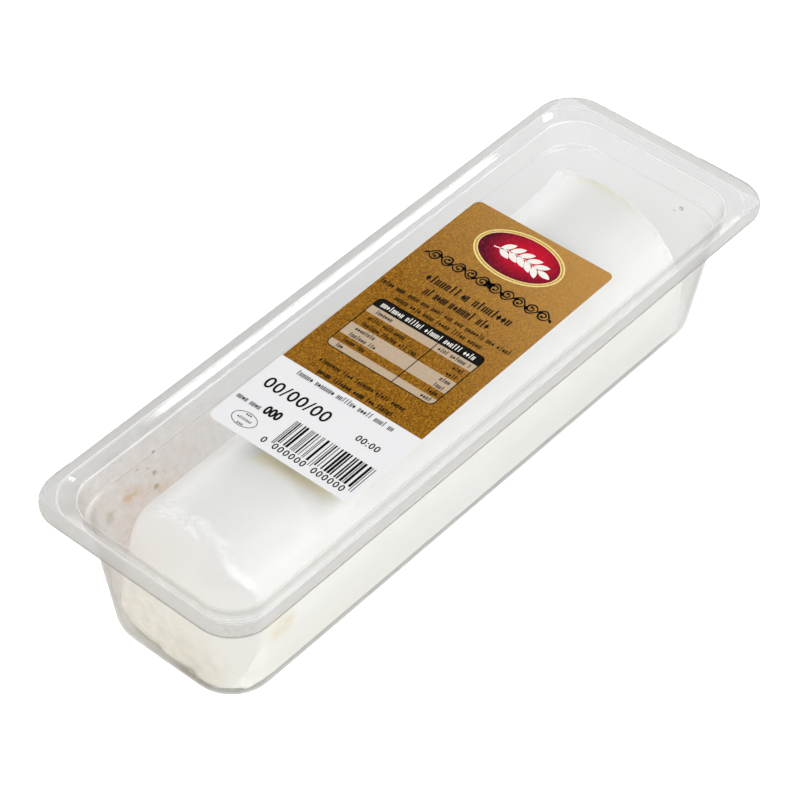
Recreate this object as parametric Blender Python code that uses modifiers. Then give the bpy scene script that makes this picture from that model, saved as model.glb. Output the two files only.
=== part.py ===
"""Goat cheese log sealed in a clear tray, modelled in metres with +Z up.

The origin is on the surface the pack stands on, under the middle of the tray.
+X runs along the log and +Z points out of the printed label.
"""
import math

import bmesh
import bpy
import numpy as np

MM = 0.001

# Driving dimensions of the thermoformed tray
TRAY_LENGTH = 210.0 * MM
TRAY_WIDTH = 72.0 * MM
TRAY_HEIGHT = 44.5 * MM
SHEET = 0.6 * MM
RIM_CORNER = 11.3 * MM
FILM_THICKNESS = 0.2 * MM
GAP = 0.3 * MM

# The rim is a flat weld band, a gentle slope down and a ledge that ends at the wall
WELD_BAND = (3.6 * MM, 2.7 * MM)
SLOPE_RUN = 2.2 * MM
LEDGE_DROP = 0.8 * MM
LEDGE_END = (7.1 * MM, 7.0 * MM)
EDGE_ROUND = 0.5 * MM
MOUTH_CORNER = 10.4 * MM
MOUTH_DRAFT = (1.3 * MM, 0.4 * MM)

# The wall leans in, and a crescent shelf in each corner keeps stacked trays apart
SHELF_DROP = 8.0 * MM
SHELF_INSET = (8.7 * MM, 7.7 * MM)
SHELF_CORNER = 13.6 * MM
FOOT_INSET = (10.8 * MM, 12.5 * MM)
FOOT_CORNER = 12.0 * MM
FOOT_FILLET = 5.6 * MM
FOOT_CORNER_CLOSING = 0.8

# Label on the film, laid on by machine a little askew
LABEL_LENGTH = 105.9 * MM
LABEL_WIDTH = 46.2 * MM
LABEL_THICKNESS = 0.15 * MM
LABEL_CORNER = 2.2 * MM
LABEL_CENTRE = (-1.1 * MM, -0.6 * MM)
LABEL_TURN = math.radians(0.84)

# The log: soft cheese, pressed by its own weight against the floor and the -Y wall
LOG_TOP_CLEARANCE = 2.0 * MM
LOG_MIDDLE_Y = -0.8 * MM
LOG_HALF_WIDTH = 24.6 * MM
LOG_YAW = 0.004
LOG_WAVES = 0.35 * MM
LOG_WAVE_LENGTHS = (134.0 * MM, 56.0 * MM)
LOG_WAVE_MIDDLE = 0.5
LOG_WAVE_SHARE = 0.25

# How much squarer than an ellipse the section is, at degrees from +Y
LOG_SQUARENESS = {45.0: 0.15, 135.0: 0.45, 228.0: 5.0, 315.0: -0.3}
SQUARENESS_SPREAD = 36.0

# The soft foot of the near end has spread into the tray's corner on the +Y side
NEAR_FOOT_SQUARENESS = 7.0
NEAR_FOOT_ANGLE = 318.0
NEAR_FOOT_SPREAD = 34.0
NEAR_FOOT_REACH = 0.07

# Each end's place at the top of the log, its lean across the log and with depth
NEAR_END = -80.0 * MM
NEAR_LEAN_ACROSS = 0.05
NEAR_LEAN_DOWN = (0.1, 4.8)
NEAR_EDGE_RADIUS = 2.2 * MM
FAR_END = 80.6 * MM
FAR_LEAN_ACROSS = 0.13
FAR_LEAN_DOWN = (0.0, 3.5)
FAR_EDGE_RADIUS = 0.8 * MM

# The skin at the far end flares out, with a thin lip and one flake that was torn up
LIP_HEIGHT = 0.8 * MM
LIP_WIDTH = 1.1 * MM
FLARE_HEIGHT = 1.4 * MM
FLARE_START = 45.0 * MM
FLARE_ANGLE = 29.0
FLARE_SPREAD = 26.0
FLAKE_LENGTH = 4.0 * MM
FLAKE_ANGLE = 33.0
FLAKE_SPREAD = 8.0
FLAKE_FADE = 8

CORNER_STEPS = 9
WALL_SHARES = (0.35, 0.7)
FILLET_STEPS = 6
LOG_SIDES = 72
LOG_STATIONS = 34
END_FACE_SHARES = (0.0, 0.3, 0.6, 0.82)
END_EDGE_STEPS = 5


def make_collection(name):
    collection = bpy.data.collections.new(name)
    bpy.context.scene.collection.children.link(collection)
    return collection


def make_material(name, colour, roughness, alpha=1.0):
    material = bpy.data.materials.new(name)
    material.use_nodes = True
    shader = material.node_tree.nodes["Principled BSDF"]
    shader.inputs["Base Color"].default_value = (*colour, 1.0)
    shader.inputs["Roughness"].default_value = roughness
    shader.inputs["Metallic"].default_value = 0.0
    shader.inputs["Alpha"].default_value = alpha
    return material


def add_object(name, data, material, collection):
    data.materials.append(material)
    made = bpy.data.objects.new(name, data)
    collection.objects.link(made)
    return made


def rounded_rectangle(half_x, half_y, radius):
    """Points round a rectangle with arcs for corners, counter-clockwise from +X."""
    turns = np.radians(np.linspace(0.0, 90.0, CORNER_STEPS))
    points = []
    for quarter, (side_x, side_y) in enumerate(((1, 1), (-1, 1), (-1, -1), (1, -1))):
        angles = turns + math.radians(90.0 * quarter)
        x = side_x * (half_x - radius) + radius * np.cos(angles)
        y = side_y * (half_y - radius) + radius * np.sin(angles)
        points.extend(zip(x, y))
    return points


def wall_at(drop):
    """Insets along X and Y and corner radius of the tray's inner face, at a drop below the rim."""
    floor_drop = TRAY_HEIGHT - SHEET
    fillet_drop = floor_drop - FOOT_FILLET
    if drop < SHELF_DROP:
        share = max(0.0, drop / SHELF_DROP)
        inset_x = LEDGE_END[0] + share * MOUTH_DRAFT[0]
        inset_y = LEDGE_END[1] + share * MOUTH_DRAFT[1]
        return inset_x, inset_y, MOUTH_CORNER
    share = min(1.0, (drop - SHELF_DROP) / (fillet_drop - SHELF_DROP))
    inset_x = SHELF_INSET[0] + share * (FOOT_INSET[0] - SHELF_INSET[0])
    inset_y = SHELF_INSET[1] + share * (FOOT_INSET[1] - SHELF_INSET[1])
    radius = SHELF_CORNER + share * (FOOT_CORNER - SHELF_CORNER)
    if drop > fillet_drop:
        depth = min(1.0, (drop - fillet_drop) / FOOT_FILLET)
        curl = FOOT_FILLET * (1.0 - math.sqrt(max(0.0, 1.0 - depth * depth)))
        inset_x += curl
        inset_y += curl
        radius -= FOOT_CORNER_CLOSING * curl
    return inset_x, inset_y, radius


def tray_sections():
    """(inset x, inset y, corner radius, drop) of each section, from the rim's edge to the floor."""
    slope_end = (WELD_BAND[0] + SLOPE_RUN, WELD_BAND[1] + SLOPE_RUN)
    ledge_end = (LEDGE_END[0] - EDGE_ROUND / 2, LEDGE_END[1] - EDGE_ROUND / 2)
    sections = [
        (0.0, 0.0, RIM_CORNER, 0.0),
        (*WELD_BAND, RIM_CORNER, 0.0),
        (*slope_end, MOUTH_CORNER, LEDGE_DROP),
        (*ledge_end, MOUTH_CORNER, LEDGE_DROP),
    ]
    for drop in (LEDGE_DROP + EDGE_ROUND, SHELF_DROP - EDGE_ROUND, SHELF_DROP):
        sections.append((*wall_at(drop), drop))
    fillet_drop = TRAY_HEIGHT - SHEET - FOOT_FILLET
    for share in WALL_SHARES:
        drop = SHELF_DROP + share * (fillet_drop - SHELF_DROP)
        sections.append((*wall_at(drop), drop))
    for angle in np.radians(np.linspace(0.0, 90.0, FILLET_STEPS)):
        drop = fillet_drop + FOOT_FILLET * math.sin(angle)
        sections.append((*wall_at(drop), drop))
    return sections


def make_tray(material, collection):
    """A loft through unlike rounded rectangles, open at the top, thickened outwards by Solidify."""
    loft = bmesh.new()
    rings = []
    for inset_x, inset_y, radius, drop in tray_sections():
        outline = rounded_rectangle(TRAY_LENGTH / 2 - inset_x, TRAY_WIDTH / 2 - inset_y, radius)
        rings.append([loft.verts.new((x, y, TRAY_HEIGHT - drop)) for x, y in outline])
    for upper, lower in zip(rings, rings[1:]):
        for i in range(len(upper)):
            j = (i + 1) % len(upper)
            loft.faces.new((upper[i], upper[j], lower[j], lower[i]))
    loft.faces.new(rings[-1])
    mesh = bpy.data.meshes.new("tray")
    loft.to_mesh(mesh)
    loft.free()
    tray = add_object("tray", mesh, material, collection)
    mesh.shade_smooth()
    mesh.set_sharp_from_angle(angle=math.radians(35.0))
    wall = tray.modifiers.new("sheet", "SOLIDIFY")
    wall.thickness = SHEET
    wall.offset = -1.0
    wall.use_even_offset = True
    return tray


def make_plate(name, size, corner, thickness, centre, turn, material, collection):
    """A flat rounded plate, as a filled 2D curve with an extrude of half its thickness."""
    curve = bpy.data.curves.new(name, "CURVE")
    curve.dimensions = "2D"
    curve.fill_mode = "BOTH"
    curve.extrude = thickness / 2
    outline = rounded_rectangle(size[0] / 2, size[1] / 2, corner)
    spline = curve.splines.new("POLY")
    spline.points.add(len(outline) - 1)
    for point, (x, y) in zip(spline.points, outline):
        point.co = (x, y, 0.0, 1.0)
    spline.use_cyclic_u = True
    plate = add_object(name, curve, material, collection)
    plate.location = centre
    plate.rotation_euler = (0.0, 0.0, turn)
    return plate


def bump(angle, place, spread):
    """A smooth hill of height 1 round the log, with its place and spread in degrees."""
    return np.exp(-(((angle - math.radians(place)) / math.radians(spread)) ** 2))


def log_outline(angle, along):
    """(y, z) of the section at an angle from +Y: a superellipse, squarest where the soft foot spreads."""
    bottom = SHEET + GAP
    top = TRAY_HEIGHT - LOG_TOP_CLEARANCE
    power = np.full_like(angle, 2.0)
    for place, squareness in LOG_SQUARENESS.items():
        power += squareness * bump(angle, place, SQUARENESS_SPREAD)
    near_foot = NEAR_FOOT_SQUARENESS * math.exp(-((along / NEAR_FOOT_REACH) ** 2))
    power += near_foot * bump(angle, NEAR_FOOT_ANGLE, NEAR_FOOT_SPREAD)
    cosine = np.cos(angle)
    sine = np.sin(angle)
    y = LOG_MIDDLE_Y + LOG_HALF_WIDTH * np.sign(cosine) * np.abs(cosine) ** (2.0 / power)
    z = (top + bottom) / 2 + (top - bottom) / 2 * np.sign(sine) * np.abs(sine) ** (2.0 / power)
    return y, z


def end_rings(radius):
    """(share of the section, distance in from the end) of the rings that close one end."""
    rings = [(share, 0.0) for share in END_FACE_SHARES]
    for angle in np.radians(np.linspace(0.0, 90.0, END_EDGE_STEPS)):
        share = 1.0 - radius / LOG_HALF_WIDTH * (1.0 - math.sin(angle))
        rings.append((share, radius * (1.0 - math.cos(angle))))
    return rings


def keep_in_tray(x, y, z):
    """Move a point inside the tray's inner face, GAP clear of it."""
    z = max(z, SHEET + GAP)
    inset_x, inset_y, radius = wall_at(TRAY_HEIGHT - z + GAP)
    flat_x = TRAY_LENGTH / 2 - inset_x - radius
    flat_y = TRAY_WIDTH / 2 - inset_y - radius
    over_x = abs(x) - flat_x
    over_y = abs(y) - flat_y
    reach = radius - GAP
    if over_x > 0.0 and over_y > 0.0:
        distance = math.hypot(over_x, over_y)
        if distance > reach:
            over_x *= reach / distance
            over_y *= reach / distance
    else:
        over_x = min(over_x, reach)
        over_y = min(over_y, reach)
    return math.copysign(flat_x + over_x, x), math.copysign(flat_y + over_y, y), z


def log_ring(angle, share, along, near_depth, far_depth):
    """Points of one ring: a share of the section, at a share of the way from end to end."""
    outline_y, outline_z = log_outline(angle, along)
    top = TRAY_HEIGHT - LOG_TOP_CLEARANCE
    middle_z = (top + SHEET + GAP) / 2
    y = LOG_MIDDLE_Y + share * (outline_y - LOG_MIDDLE_Y)
    z = middle_z + share * (outline_z - middle_z)
    down = top - z
    near = NEAR_END + NEAR_LEAN_ACROSS * y - NEAR_LEAN_DOWN[0] * down - NEAR_LEAN_DOWN[1] * down**2
    far = FAR_END + FAR_LEAN_ACROSS * y + FAR_LEAN_DOWN[0] * down + FAR_LEAN_DOWN[1] * down**2
    far += FLAKE_LENGTH * share**FLAKE_FADE * bump(angle, FLAKE_ANGLE, FLAKE_SPREAD)
    x = near + near_depth + along * (far - far_depth - near - near_depth)

    phase_long, phase_short = (2.0 * math.pi * x / length for length in LOG_WAVE_LENGTHS)
    wave = np.sin(phase_long + 2.0 * angle) + np.sin(phase_short - 3.0 * angle)
    rise = np.clip((x - FLARE_START) / (FAR_END - FLARE_START), 0.0, 1.0) ** 2
    height = FLARE_HEIGHT * rise * bump(angle, FLARE_ANGLE, FLARE_SPREAD)
    height += LIP_HEIGHT * np.exp(-(((far - x) / LIP_WIDTH) ** 2))
    height -= LOG_WAVES * (LOG_WAVE_MIDDLE + LOG_WAVE_SHARE * wave)
    swell = 1.0 + height / LOG_HALF_WIDTH
    y = LOG_MIDDLE_Y + swell * (y - LOG_MIDDLE_Y) + LOG_YAW * x
    z = middle_z + swell * (z - middle_z)
    return [keep_in_tray(*point) for point in zip(x, y, z)]


def make_log(material, collection):
    """Rings of one outline along the log, closed at both leaning ends."""
    angle = np.linspace(0.0, 2.0 * math.pi, LOG_SIDES, endpoint=False)
    stations = (1.0 - np.cos(np.linspace(0.0, math.pi, LOG_STATIONS))) / 2.0
    rings = []
    for share, depth in end_rings(NEAR_EDGE_RADIUS):
        rings.append(log_ring(angle, share, 0.0, depth, 0.0))
    for along in stations[1:-1]:
        rings.append(log_ring(angle, 1.0, along, NEAR_EDGE_RADIUS, FAR_EDGE_RADIUS))
    for share, depth in reversed(end_rings(FAR_EDGE_RADIUS)):
        rings.append(log_ring(angle, share, 1.0, 0.0, depth))

    body = bmesh.new()
    made = []
    for number, ring in enumerate(rings):
        points = ring[:1] if number in (0, len(rings) - 1) else ring
        made.append([body.verts.new(point) for point in points])
    for lower, upper in zip(made, made[1:]):
        for i in range(LOG_SIDES):
            j = (i + 1) % LOG_SIDES
            if len(lower) == 1:
                body.faces.new((lower[0], upper[j], upper[i]))
            elif len(upper) == 1:
                body.faces.new((lower[i], lower[j], upper[0]))
            else:
                body.faces.new((lower[i], lower[j], upper[j], upper[i]))
    bmesh.ops.recalc_face_normals(body, faces=body.faces)
    mesh = bpy.data.meshes.new("cheese_log")
    body.to_mesh(mesh)
    body.free()
    log = add_object("cheese_log", mesh, material, collection)
    mesh.shade_smooth()
    mesh.set_sharp_from_angle(angle=math.radians(50.0))
    return log


def main():
    for old in list(bpy.data.objects):
        bpy.data.objects.remove(old)
    pack = make_collection("goat_cheese_pack")

    clear_sheet = make_material("clear formed sheet", (0.86, 0.85, 0.83), 0.08, 0.3)
    clear_film = make_material("clear lidding film", (0.9, 0.9, 0.89), 0.05, 0.2)
    label_paper = make_material("printed label", (0.36, 0.16, 0.03), 0.45)
    cheese = make_material("fresh goat cheese", (0.88, 0.87, 0.83), 0.55)

    make_tray(clear_sheet, pack)
    make_log(cheese, pack)
    film_z = TRAY_HEIGHT + GAP + FILM_THICKNESS / 2
    make_plate(
        "lid_film", (TRAY_LENGTH, TRAY_WIDTH), RIM_CORNER, FILM_THICKNESS,
        (0.0, 0.0, film_z), 0.0, clear_film, pack,
    )
    label_z = TRAY_HEIGHT + GAP + FILM_THICKNESS + GAP + LABEL_THICKNESS / 2
    make_plate(
        "label", (LABEL_LENGTH, LABEL_WIDTH), LABEL_CORNER, LABEL_THICKNESS,
        (*LABEL_CENTRE, label_z), LABEL_TURN, label_paper, pack,
    )


main()
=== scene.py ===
# Goat cheese log sealed in a clear tray: finishes, printed label, studio and camera
import math

import bmesh
import bpy
import numpy as np
from mathutils import Matrix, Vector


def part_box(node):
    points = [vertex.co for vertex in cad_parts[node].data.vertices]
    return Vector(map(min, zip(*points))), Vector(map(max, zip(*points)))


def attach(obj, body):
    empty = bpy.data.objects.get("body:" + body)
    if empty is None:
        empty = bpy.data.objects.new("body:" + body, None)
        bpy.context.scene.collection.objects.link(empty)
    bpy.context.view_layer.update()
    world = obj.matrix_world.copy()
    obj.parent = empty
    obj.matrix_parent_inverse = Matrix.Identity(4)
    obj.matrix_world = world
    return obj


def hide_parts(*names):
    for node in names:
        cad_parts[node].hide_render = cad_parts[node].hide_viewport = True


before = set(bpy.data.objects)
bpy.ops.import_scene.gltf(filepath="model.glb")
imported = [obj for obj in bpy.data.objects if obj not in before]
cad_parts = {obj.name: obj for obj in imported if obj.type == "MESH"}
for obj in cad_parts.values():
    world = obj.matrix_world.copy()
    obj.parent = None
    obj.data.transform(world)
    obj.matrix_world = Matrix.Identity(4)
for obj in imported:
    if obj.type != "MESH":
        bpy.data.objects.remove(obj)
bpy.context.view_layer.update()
print("frame loaded:", ", ".join(sorted(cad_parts)))

mm = 0.001


# Every length below is in millimetres, and finishMesh turns it to metres
def boxOf(node):
    low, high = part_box(node)
    return np.array(low) / mm, np.array(high) / mm


trayLow, trayHigh = boxOf("tray")
labelLow = boxOf("label")[0]
trayHalf = (trayHigh - trayLow)[:2] / 2
rimTop = trayHigh[2]


def linear(code):
    # sRGB hex to linear light: c / 12.92 when dark, else ((c + 0.055) / 1.055) ^ 2.4
    values = np.array([int(code[i:i + 2], 16) for i in (1, 3, 5)]) / 255
    light = np.where(values <= 0.04045, values / 12.92, ((values + 0.055) / 1.055) ** 2.4)
    return (*light.tolist(), 1.0)


def valueNoise(points, size, seed):
    # Smooth noise from -1 to 1: random values on a lattice of that size, blended by 3t^2 - 2t^3
    cells = 32
    lattice = np.random.default_rng(seed).uniform(-1.0, 1.0, (cells,) * 3)
    place = points / size
    base = np.floor(place).astype(int)
    part = place - base
    blend = part * part * (3.0 - 2.0 * part)
    total = np.zeros(points.shape[:-1])
    for corner in np.ndindex(2, 2, 2):
        index = (base + corner) % cells
        weight = np.prod(np.where(corner, blend, 1.0 - blend), axis=-1)
        total += weight * lattice[index[..., 0], index[..., 1], index[..., 2]]
    return total


def smoothStep(value, start, end):
    # 0 before start, 1 after end, 3t^2 - 2t^3 between
    share = np.clip((value - start) / (end - start), 0.0, 1.0)
    return share * share * (3.0 - 2.0 * share)


def gridFaces(rows, points, wrapRows, wrapPoints):
    # Quads between neighbours on a grid: (i, j), (i, j + 1), (i + 1, j + 1), (i + 1, j)
    index = np.arange(rows * points).reshape(rows, points)
    if wrapRows:
        index = np.concatenate((index, index[:1]))
    if wrapPoints:
        index = np.concatenate((index, index[:, :1]), axis=1)
    corners = (index[:-1, :-1], index[:-1, 1:], index[1:, 1:], index[1:, :-1])
    return np.stack(corners, axis=-1).reshape(-1, 4)


def gridMesh(name, grid, wrapRows=False, wrapPoints=True, closed=False, marks=None):
    # grid[row, point] becomes a mesh; rows that end in one point become poles when doubles are merged
    faces = gridFaces(*grid.shape[:2], wrapRows, wrapPoints)
    return finishMesh(name, grid.reshape(-1, 3), faces.tolist(), closed, marks)


def finishMesh(name, points, faces, closed, marks=None):
    # marks are values for each point, which the materials read as attributes
    mergeDistance = 1e-7
    mesh = bpy.data.meshes.new(name)
    mesh.from_pydata((points * mm).tolist(), [], faces)
    for mark, values in (marks or {}).items():
        mesh.attributes.new(mark, "FLOAT", "POINT").data.foreach_set("value", values.ravel())
    work = bmesh.new()
    work.from_mesh(mesh)
    bmesh.ops.remove_doubles(work, verts=work.verts, dist=mergeDistance)
    if closed:
        bmesh.ops.recalc_face_normals(work, faces=work.faces)
    work.to_mesh(mesh)
    work.free()
    mesh.shade_smooth()
    return mesh


def addPiece(name, mesh, materials, replaced=None, sharp=None):
    # One object at the origin with its place in its mesh, riding on the pack's only body
    piece = bpy.data.objects.new(name, mesh)
    bpy.context.scene.collection.objects.link(piece)
    for material in materials:
        mesh.materials.append(material)
    if sharp is not None:
        mesh.set_sharp_from_angle(angle=math.radians(sharp))
    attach(piece, "root")
    if replaced:
        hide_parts(replaced)
    return piece


# Materials
def newMaterial(name):
    material = bpy.data.materials.new(name)
    material.use_nodes = True
    material.node_tree.nodes.clear()
    return material


def addNode(material, kind, settings=None, links=None):
    # A node with its settings and links; a key is a property, a socket's name or its number
    node = material.node_tree.nodes.new("ShaderNode" + kind)
    for key, value in (settings or {}).items():
        if isinstance(key, int) or key in node.inputs:
            node.inputs[key].default_value = value
        else:
            setattr(node, key, value)
    for key, source in (links or {}).items():
        material.node_tree.links.new(source, node.inputs[key])
    return node


clearLooks = {
    "sheet": {
        "through": "#fbfbfb", "grazing": "#f3f3ee", "haze": 0.01, "hazeColour": "#e8e7e4",
        # paintedHighlight: how much white is painted along the folds as a highlight
        "roughness": 0.05, "waveSize": 12.0, "waveDepth": 0.04, "paintedHighlight": 0.95,
        "wheyAndShadePatches": (     # dried whey and painted shade: place, size, size of its mottling, colour and strength
            ((-97.0, 4.0, 13.0), (11.0, 33.0, 24.0), 3.0, "#f3eddf", 0.4),
            # partly dried whey, partly painted shade that darkens the inside of the pack at the near left
            ((-78.0, 24.0, 27.0), (56.0, 14.0, 34.0), 4.0, "#e2d6cc", 0.62),
            ((-76.4, 27.2, 29.3), (5.0, 5.0, 3.2), 1.6, "#d9bd94", 0.7),
            ((-66.8, 26.5, 25.3), (3.8, 5.0, 2.6), 1.6, "#dcc6a6", 0.5),
            ((-84.3, 26.8, 28.0), (2.8, 5.0, 2.4), 1.2, "#a99c7d", 0.5),
            ((-80.0, -27.0, 24.4), (7.0, 5.0, 6.0), 2.5, "#eddfae", 0.35),
            # painted shadow at the near end's foot, where the curd meets the tray
            ((-94.6, -9.0, 5.6), (5.5, 9.0, 2.4), 1.5, "#a8977c", 0.75),
        ),
    },
    "film": {
        "through": "#fefefe", "grazing": "#efefed", "haze": 0.008, "hazeColour": "#eeedeb",
        "roughness": 0.04, "waveSize": 14.0, "waveDepth": 0.05, "weldHaze": 0.30,
    },
    "edge": {
        "through": "#c9c4bf", "grazing": "#8d8781", "haze": 0.25, "hazeColour": "#d9d5d0",
        "roughness": 0.15, "waveSize": 2.0, "waveDepth": 0.05,
    },
    "droplet": {
        "through": "#f6f2ea", "grazing": "#5d564c", "haze": 0.05, "hazeColour": "#e9e2d2",
        "roughness": 0.02, "waveSize": 1.0, "waveDepth": 0.0,
    },
}
faceMirror = 0.045     # what one face of clear plastic mirrors of light that meets it squarely
smearLook = {
    "core": 0.2,     # share of a smear's size that has its full strength
    "mottling": (0.26, 0.72),     # noise values that give none and all of its strength
    "scattered": 0.5,     # share of its light that scatters; the rest goes straight through
}


def addSmear(material, place, surface, smear):
    # A patch of whey or painted shade: strength x smoothstep of the nearness to its middle x noise
    centre, size, grain, colour, strength = smear
    centred = addNode(material, "Mapping", {
        "vector_type": "TEXTURE", "Location": [v * mm for v in centre], "Scale": [v * mm for v in size],
    }, {"Vector": place})
    distance = addNode(material, "VectorMath", {"operation": "LENGTH"}, {0: centred.outputs[0]})
    near = addNode(material, "MapRange", {
        "interpolation_type": "SMOOTHSTEP",
        "From Min": 1.0, "From Max": smearLook["core"], "To Max": strength,
    }, {"Value": distance.outputs["Value"]})
    mottling = addNode(material, "TexNoise", {"Scale": 1 / (grain * mm), "Detail": 4.0, "Roughness": 0.6},
                       {"Vector": place})
    low, high = smearLook["mottling"]
    mottled = addNode(material, "MapRange", {"From Min": low, "From Max": high},
                      {"Value": mottling.outputs["Fac"]})
    share = addNode(material, "Math", {"operation": "MULTIPLY"}, {0: near.outputs[0], 1: mottled.outputs[0]})
    stained = addNode(material, "BsdfTransparent", {"Color": linear(colour)})
    cloudy = addNode(material, "BsdfTranslucent", {"Color": linear(colour)})
    dried = addNode(material, "MixShader", {0: smearLook["scattered"]},
                    {1: stained.outputs[0], 2: cloudy.outputs[0]})
    smeared = addNode(material, "MixShader", links={0: share.outputs[0], 1: surface, 2: dried.outputs[0]})
    return smeared.outputs[0]


def clearPlastic(name, look):
    # Clear PET, drawn or cast: light goes straight through with a faint tint, deeper by (1 - cos)^4, and
    # each face mirrors m + (1 - m) (1 - cos)^5 of the studio; the long waves come from forming, welds are
    # whiter with haze, and a painted highlight whitens the folds
    material = newMaterial(name)
    place = addNode(material, "TexCoord").outputs["Object"]
    waves = addNode(material, "TexNoise", {"Scale": 1 / (look["waveSize"] * mm), "Detail": 1.0},
                    {"Vector": place})
    bump = addNode(material, "Bump", {"Strength": 1.0, "Distance": look["waveDepth"] * mm},
                   {"Height": waves.outputs["Fac"]})
    slant = addNode(material, "LayerWeight", {"Blend": 0.5}, {"Normal": bump.outputs["Normal"]})
    deep = addNode(material, "Math", {"operation": "POWER", 1: 4.0}, {0: slant.outputs["Facing"]})
    tint = addNode(material, "Mix", {
        "data_type": "RGBA", 6: linear(look["through"]), 7: linear(look["grazing"]),
    }, {0: deep.outputs[0]})
    clear = addNode(material, "BsdfTransparent", links={"Color": tint.outputs[2]})
    cloudy = addNode(material, "BsdfTranslucent", {"Color": linear(look["hazeColour"])})
    body = addNode(material, "MixShader", {0: look["haze"]}, {1: clear.outputs[0], 2: cloudy.outputs[0]})
    if "weldHaze" in look:
        weld = addNode(material, "Attribute", {"attribute_name": "weld"})
        share = addNode(material, "MapRange", {"To Min": look["haze"], "To Max": look["weldHaze"]},
                        {"Value": weld.outputs["Fac"]})
        material.node_tree.links.new(share.outputs[0], body.inputs[0])
    inside = body.outputs[0]
    for smear in look.get("wheyAndShadePatches", ()):
        inside = addSmear(material, place, inside, smear)
    gloss = addNode(material, "BsdfAnisotropic", {"Roughness": look["roughness"]},
                    {"Normal": bump.outputs["Normal"]})
    steep = addNode(material, "Math", {"operation": "POWER", 1: 5.0}, {0: slant.outputs["Facing"]})
    mirrored = addNode(material, "Math", {"operation": "MULTIPLY_ADD", 1: 1.0 - faceMirror, 2: faceMirror},
                       {0: steep.outputs[0]})
    whole = addNode(material, "MixShader", links={0: mirrored.outputs[0], 1: inside, 2: gloss.outputs[0]})
    # Painted highlight: white mixed in along the folds, where their curves would catch the light
    if "paintedHighlight" in look:
        crease = addNode(material, "Attribute", {"attribute_name": "paintedFoldHighlight"})
        share = addNode(material, "Math", {"operation": "MULTIPLY", 1: look["paintedHighlight"]},
                        {0: crease.outputs["Fac"]})
        white = addNode(material, "BsdfPrincipled", {"Base Color": linear("#ffffff"), "Roughness": 0.3})
        whole = addNode(material, "MixShader",
                        links={0: share.outputs[0], 1: whole.outputs[0], 2: white.outputs[0]})
    addNode(material, "OutputMaterial", links={"Surface": whole.outputs[0]})
    return material


# Rounded rectangles
def ringShares(cornerSteps, longSteps, shortSteps):
    # Points round a rounded rectangle, counter-clockwise from +X, as shares (sx, sy, cx, cy) of
    # x = sx (halfX - r) + cx r and y = sy (halfY - r) + cy r
    signs = np.array(((1, 1), (-1, 1), (-1, -1), (1, -1)), float)
    parts = []
    for quarter in range(4):
        here, ahead = signs[quarter], signs[(quarter + 1) % 4]
        turn = np.linspace(0.0, math.pi / 2, cornerSteps) + quarter * math.pi / 2
        arc = np.column_stack((np.tile(here, (cornerSteps, 1)), np.cos(turn), np.sin(turn)))
        steps = shortSteps if quarter % 2 else longSteps
        share = np.linspace(0.0, 1.0, steps + 1)[1:-1, None]
        straight = np.column_stack((here + share * (ahead - here), np.tile(arc[-1, 2:], (steps - 1, 1))))
        parts += [arc, straight]
    return np.concatenate(parts)


def ringGrid(shares, halfX, halfY, radius, z):
    # grid[station, point], a rounded rectangle at each station
    sx, sy, cx, cy = shares.T
    halfX, halfY, radius, z = (np.asarray(value, float)[:, None] for value in (halfX, halfY, radius, z))
    x = sx * (halfX - radius) + cx * radius
    y = sy * (halfY - radius) + cy * radius
    return np.stack(np.broadcast_arrays(x, y, z), axis=-1)


def softPath(corners, cuts, arcSteps, runSteps):
    # A polyline with rounded corners: P = A + (C - A) sin t + (B - C)(1 - cos t) for t from 0 to 90
    # degrees, where A and B lie a cut's length before and after the corner C
    weights = np.array((0.7, 0.7, 0.4, 1.0))     # what inset x, inset y, radius and drop add to a length
    stations = [corners[:1]]
    last = corners[0]
    turn = np.linspace(0.0, math.pi / 2, arcSteps)[:, None]
    run = np.linspace(0.0, 1.0, runSteps + 1)[1:-1, None]
    for before, corner, after, cut in zip(corners, corners[1:], corners[2:], cuts):
        start = corner + (before - corner) * cut / np.linalg.norm((before - corner) * weights)
        end = corner + (after - corner) * cut / np.linalg.norm((after - corner) * weights)
        arc = start + (corner - start) * np.sin(turn) + (end - corner) * (1.0 - np.cos(turn))
        stations += [last + (start - last) * run, arc]
        last = end
    stations += [last + (corners[-1] - last) * run, corners[-1:]]
    return np.concatenate(stations)


# The formed tray
tray = {
    "sheet": 0.6,
    "rimCorner": 11.3,
    "weldBand": (3.6, 2.7),
    "slopeRun": 2.2,
    "ledgeDrop": 0.8,
    "ledgeEnd": (7.1, 7.0),
    "mouthCorner": 10.4,
    "mouthDraft": (1.3, 0.4),
    "shelfDrop": 8.0,
    "shelfInset": (8.5, 7.5),
    "shelfFall": 0.1,
    "shelfCorner": 13.6,
    "footInset": (10.8, 12.5),
    "footCorner": 12.0,
    "footFillet": 5.6,
    "footCornerClosing": 0.8,
    "softening": (0.35, 0.35, 0.85, 0.4, 0.85),     # at the weld edge, slope, mouth and shelf
    "foldHighlights": (     # where a highlight is painted along a fold: inset y, drop, strength and width
        (2.7, 0.0, 1.0, 0.22),
        (7.0, 0.8, 1.0, 0.26),
    ),
    "cornerFoldHighlights": ((7.4, 8.0, 0.5, 0.3),),
    "cornerReach": (26.0, 17.0),     # in from both sides, where those start and are whole
    "foldHighlightVariation": (0.85, 0.3, 7.0),     # the painted highlight's mean, variation and its size
    "ringSteps": (24, 70, 26),     # round a corner, along a long side and along a short one
    "profileSteps": (9, 7, 12, 14),     # round an edge, between edges, round the foot and over the floor
    "wallWaves": (0.10, 17.0),     # height and length
    "wavesBelow": (2.0, 10.0),     # under the shelf, where they start and are whole
}


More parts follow.
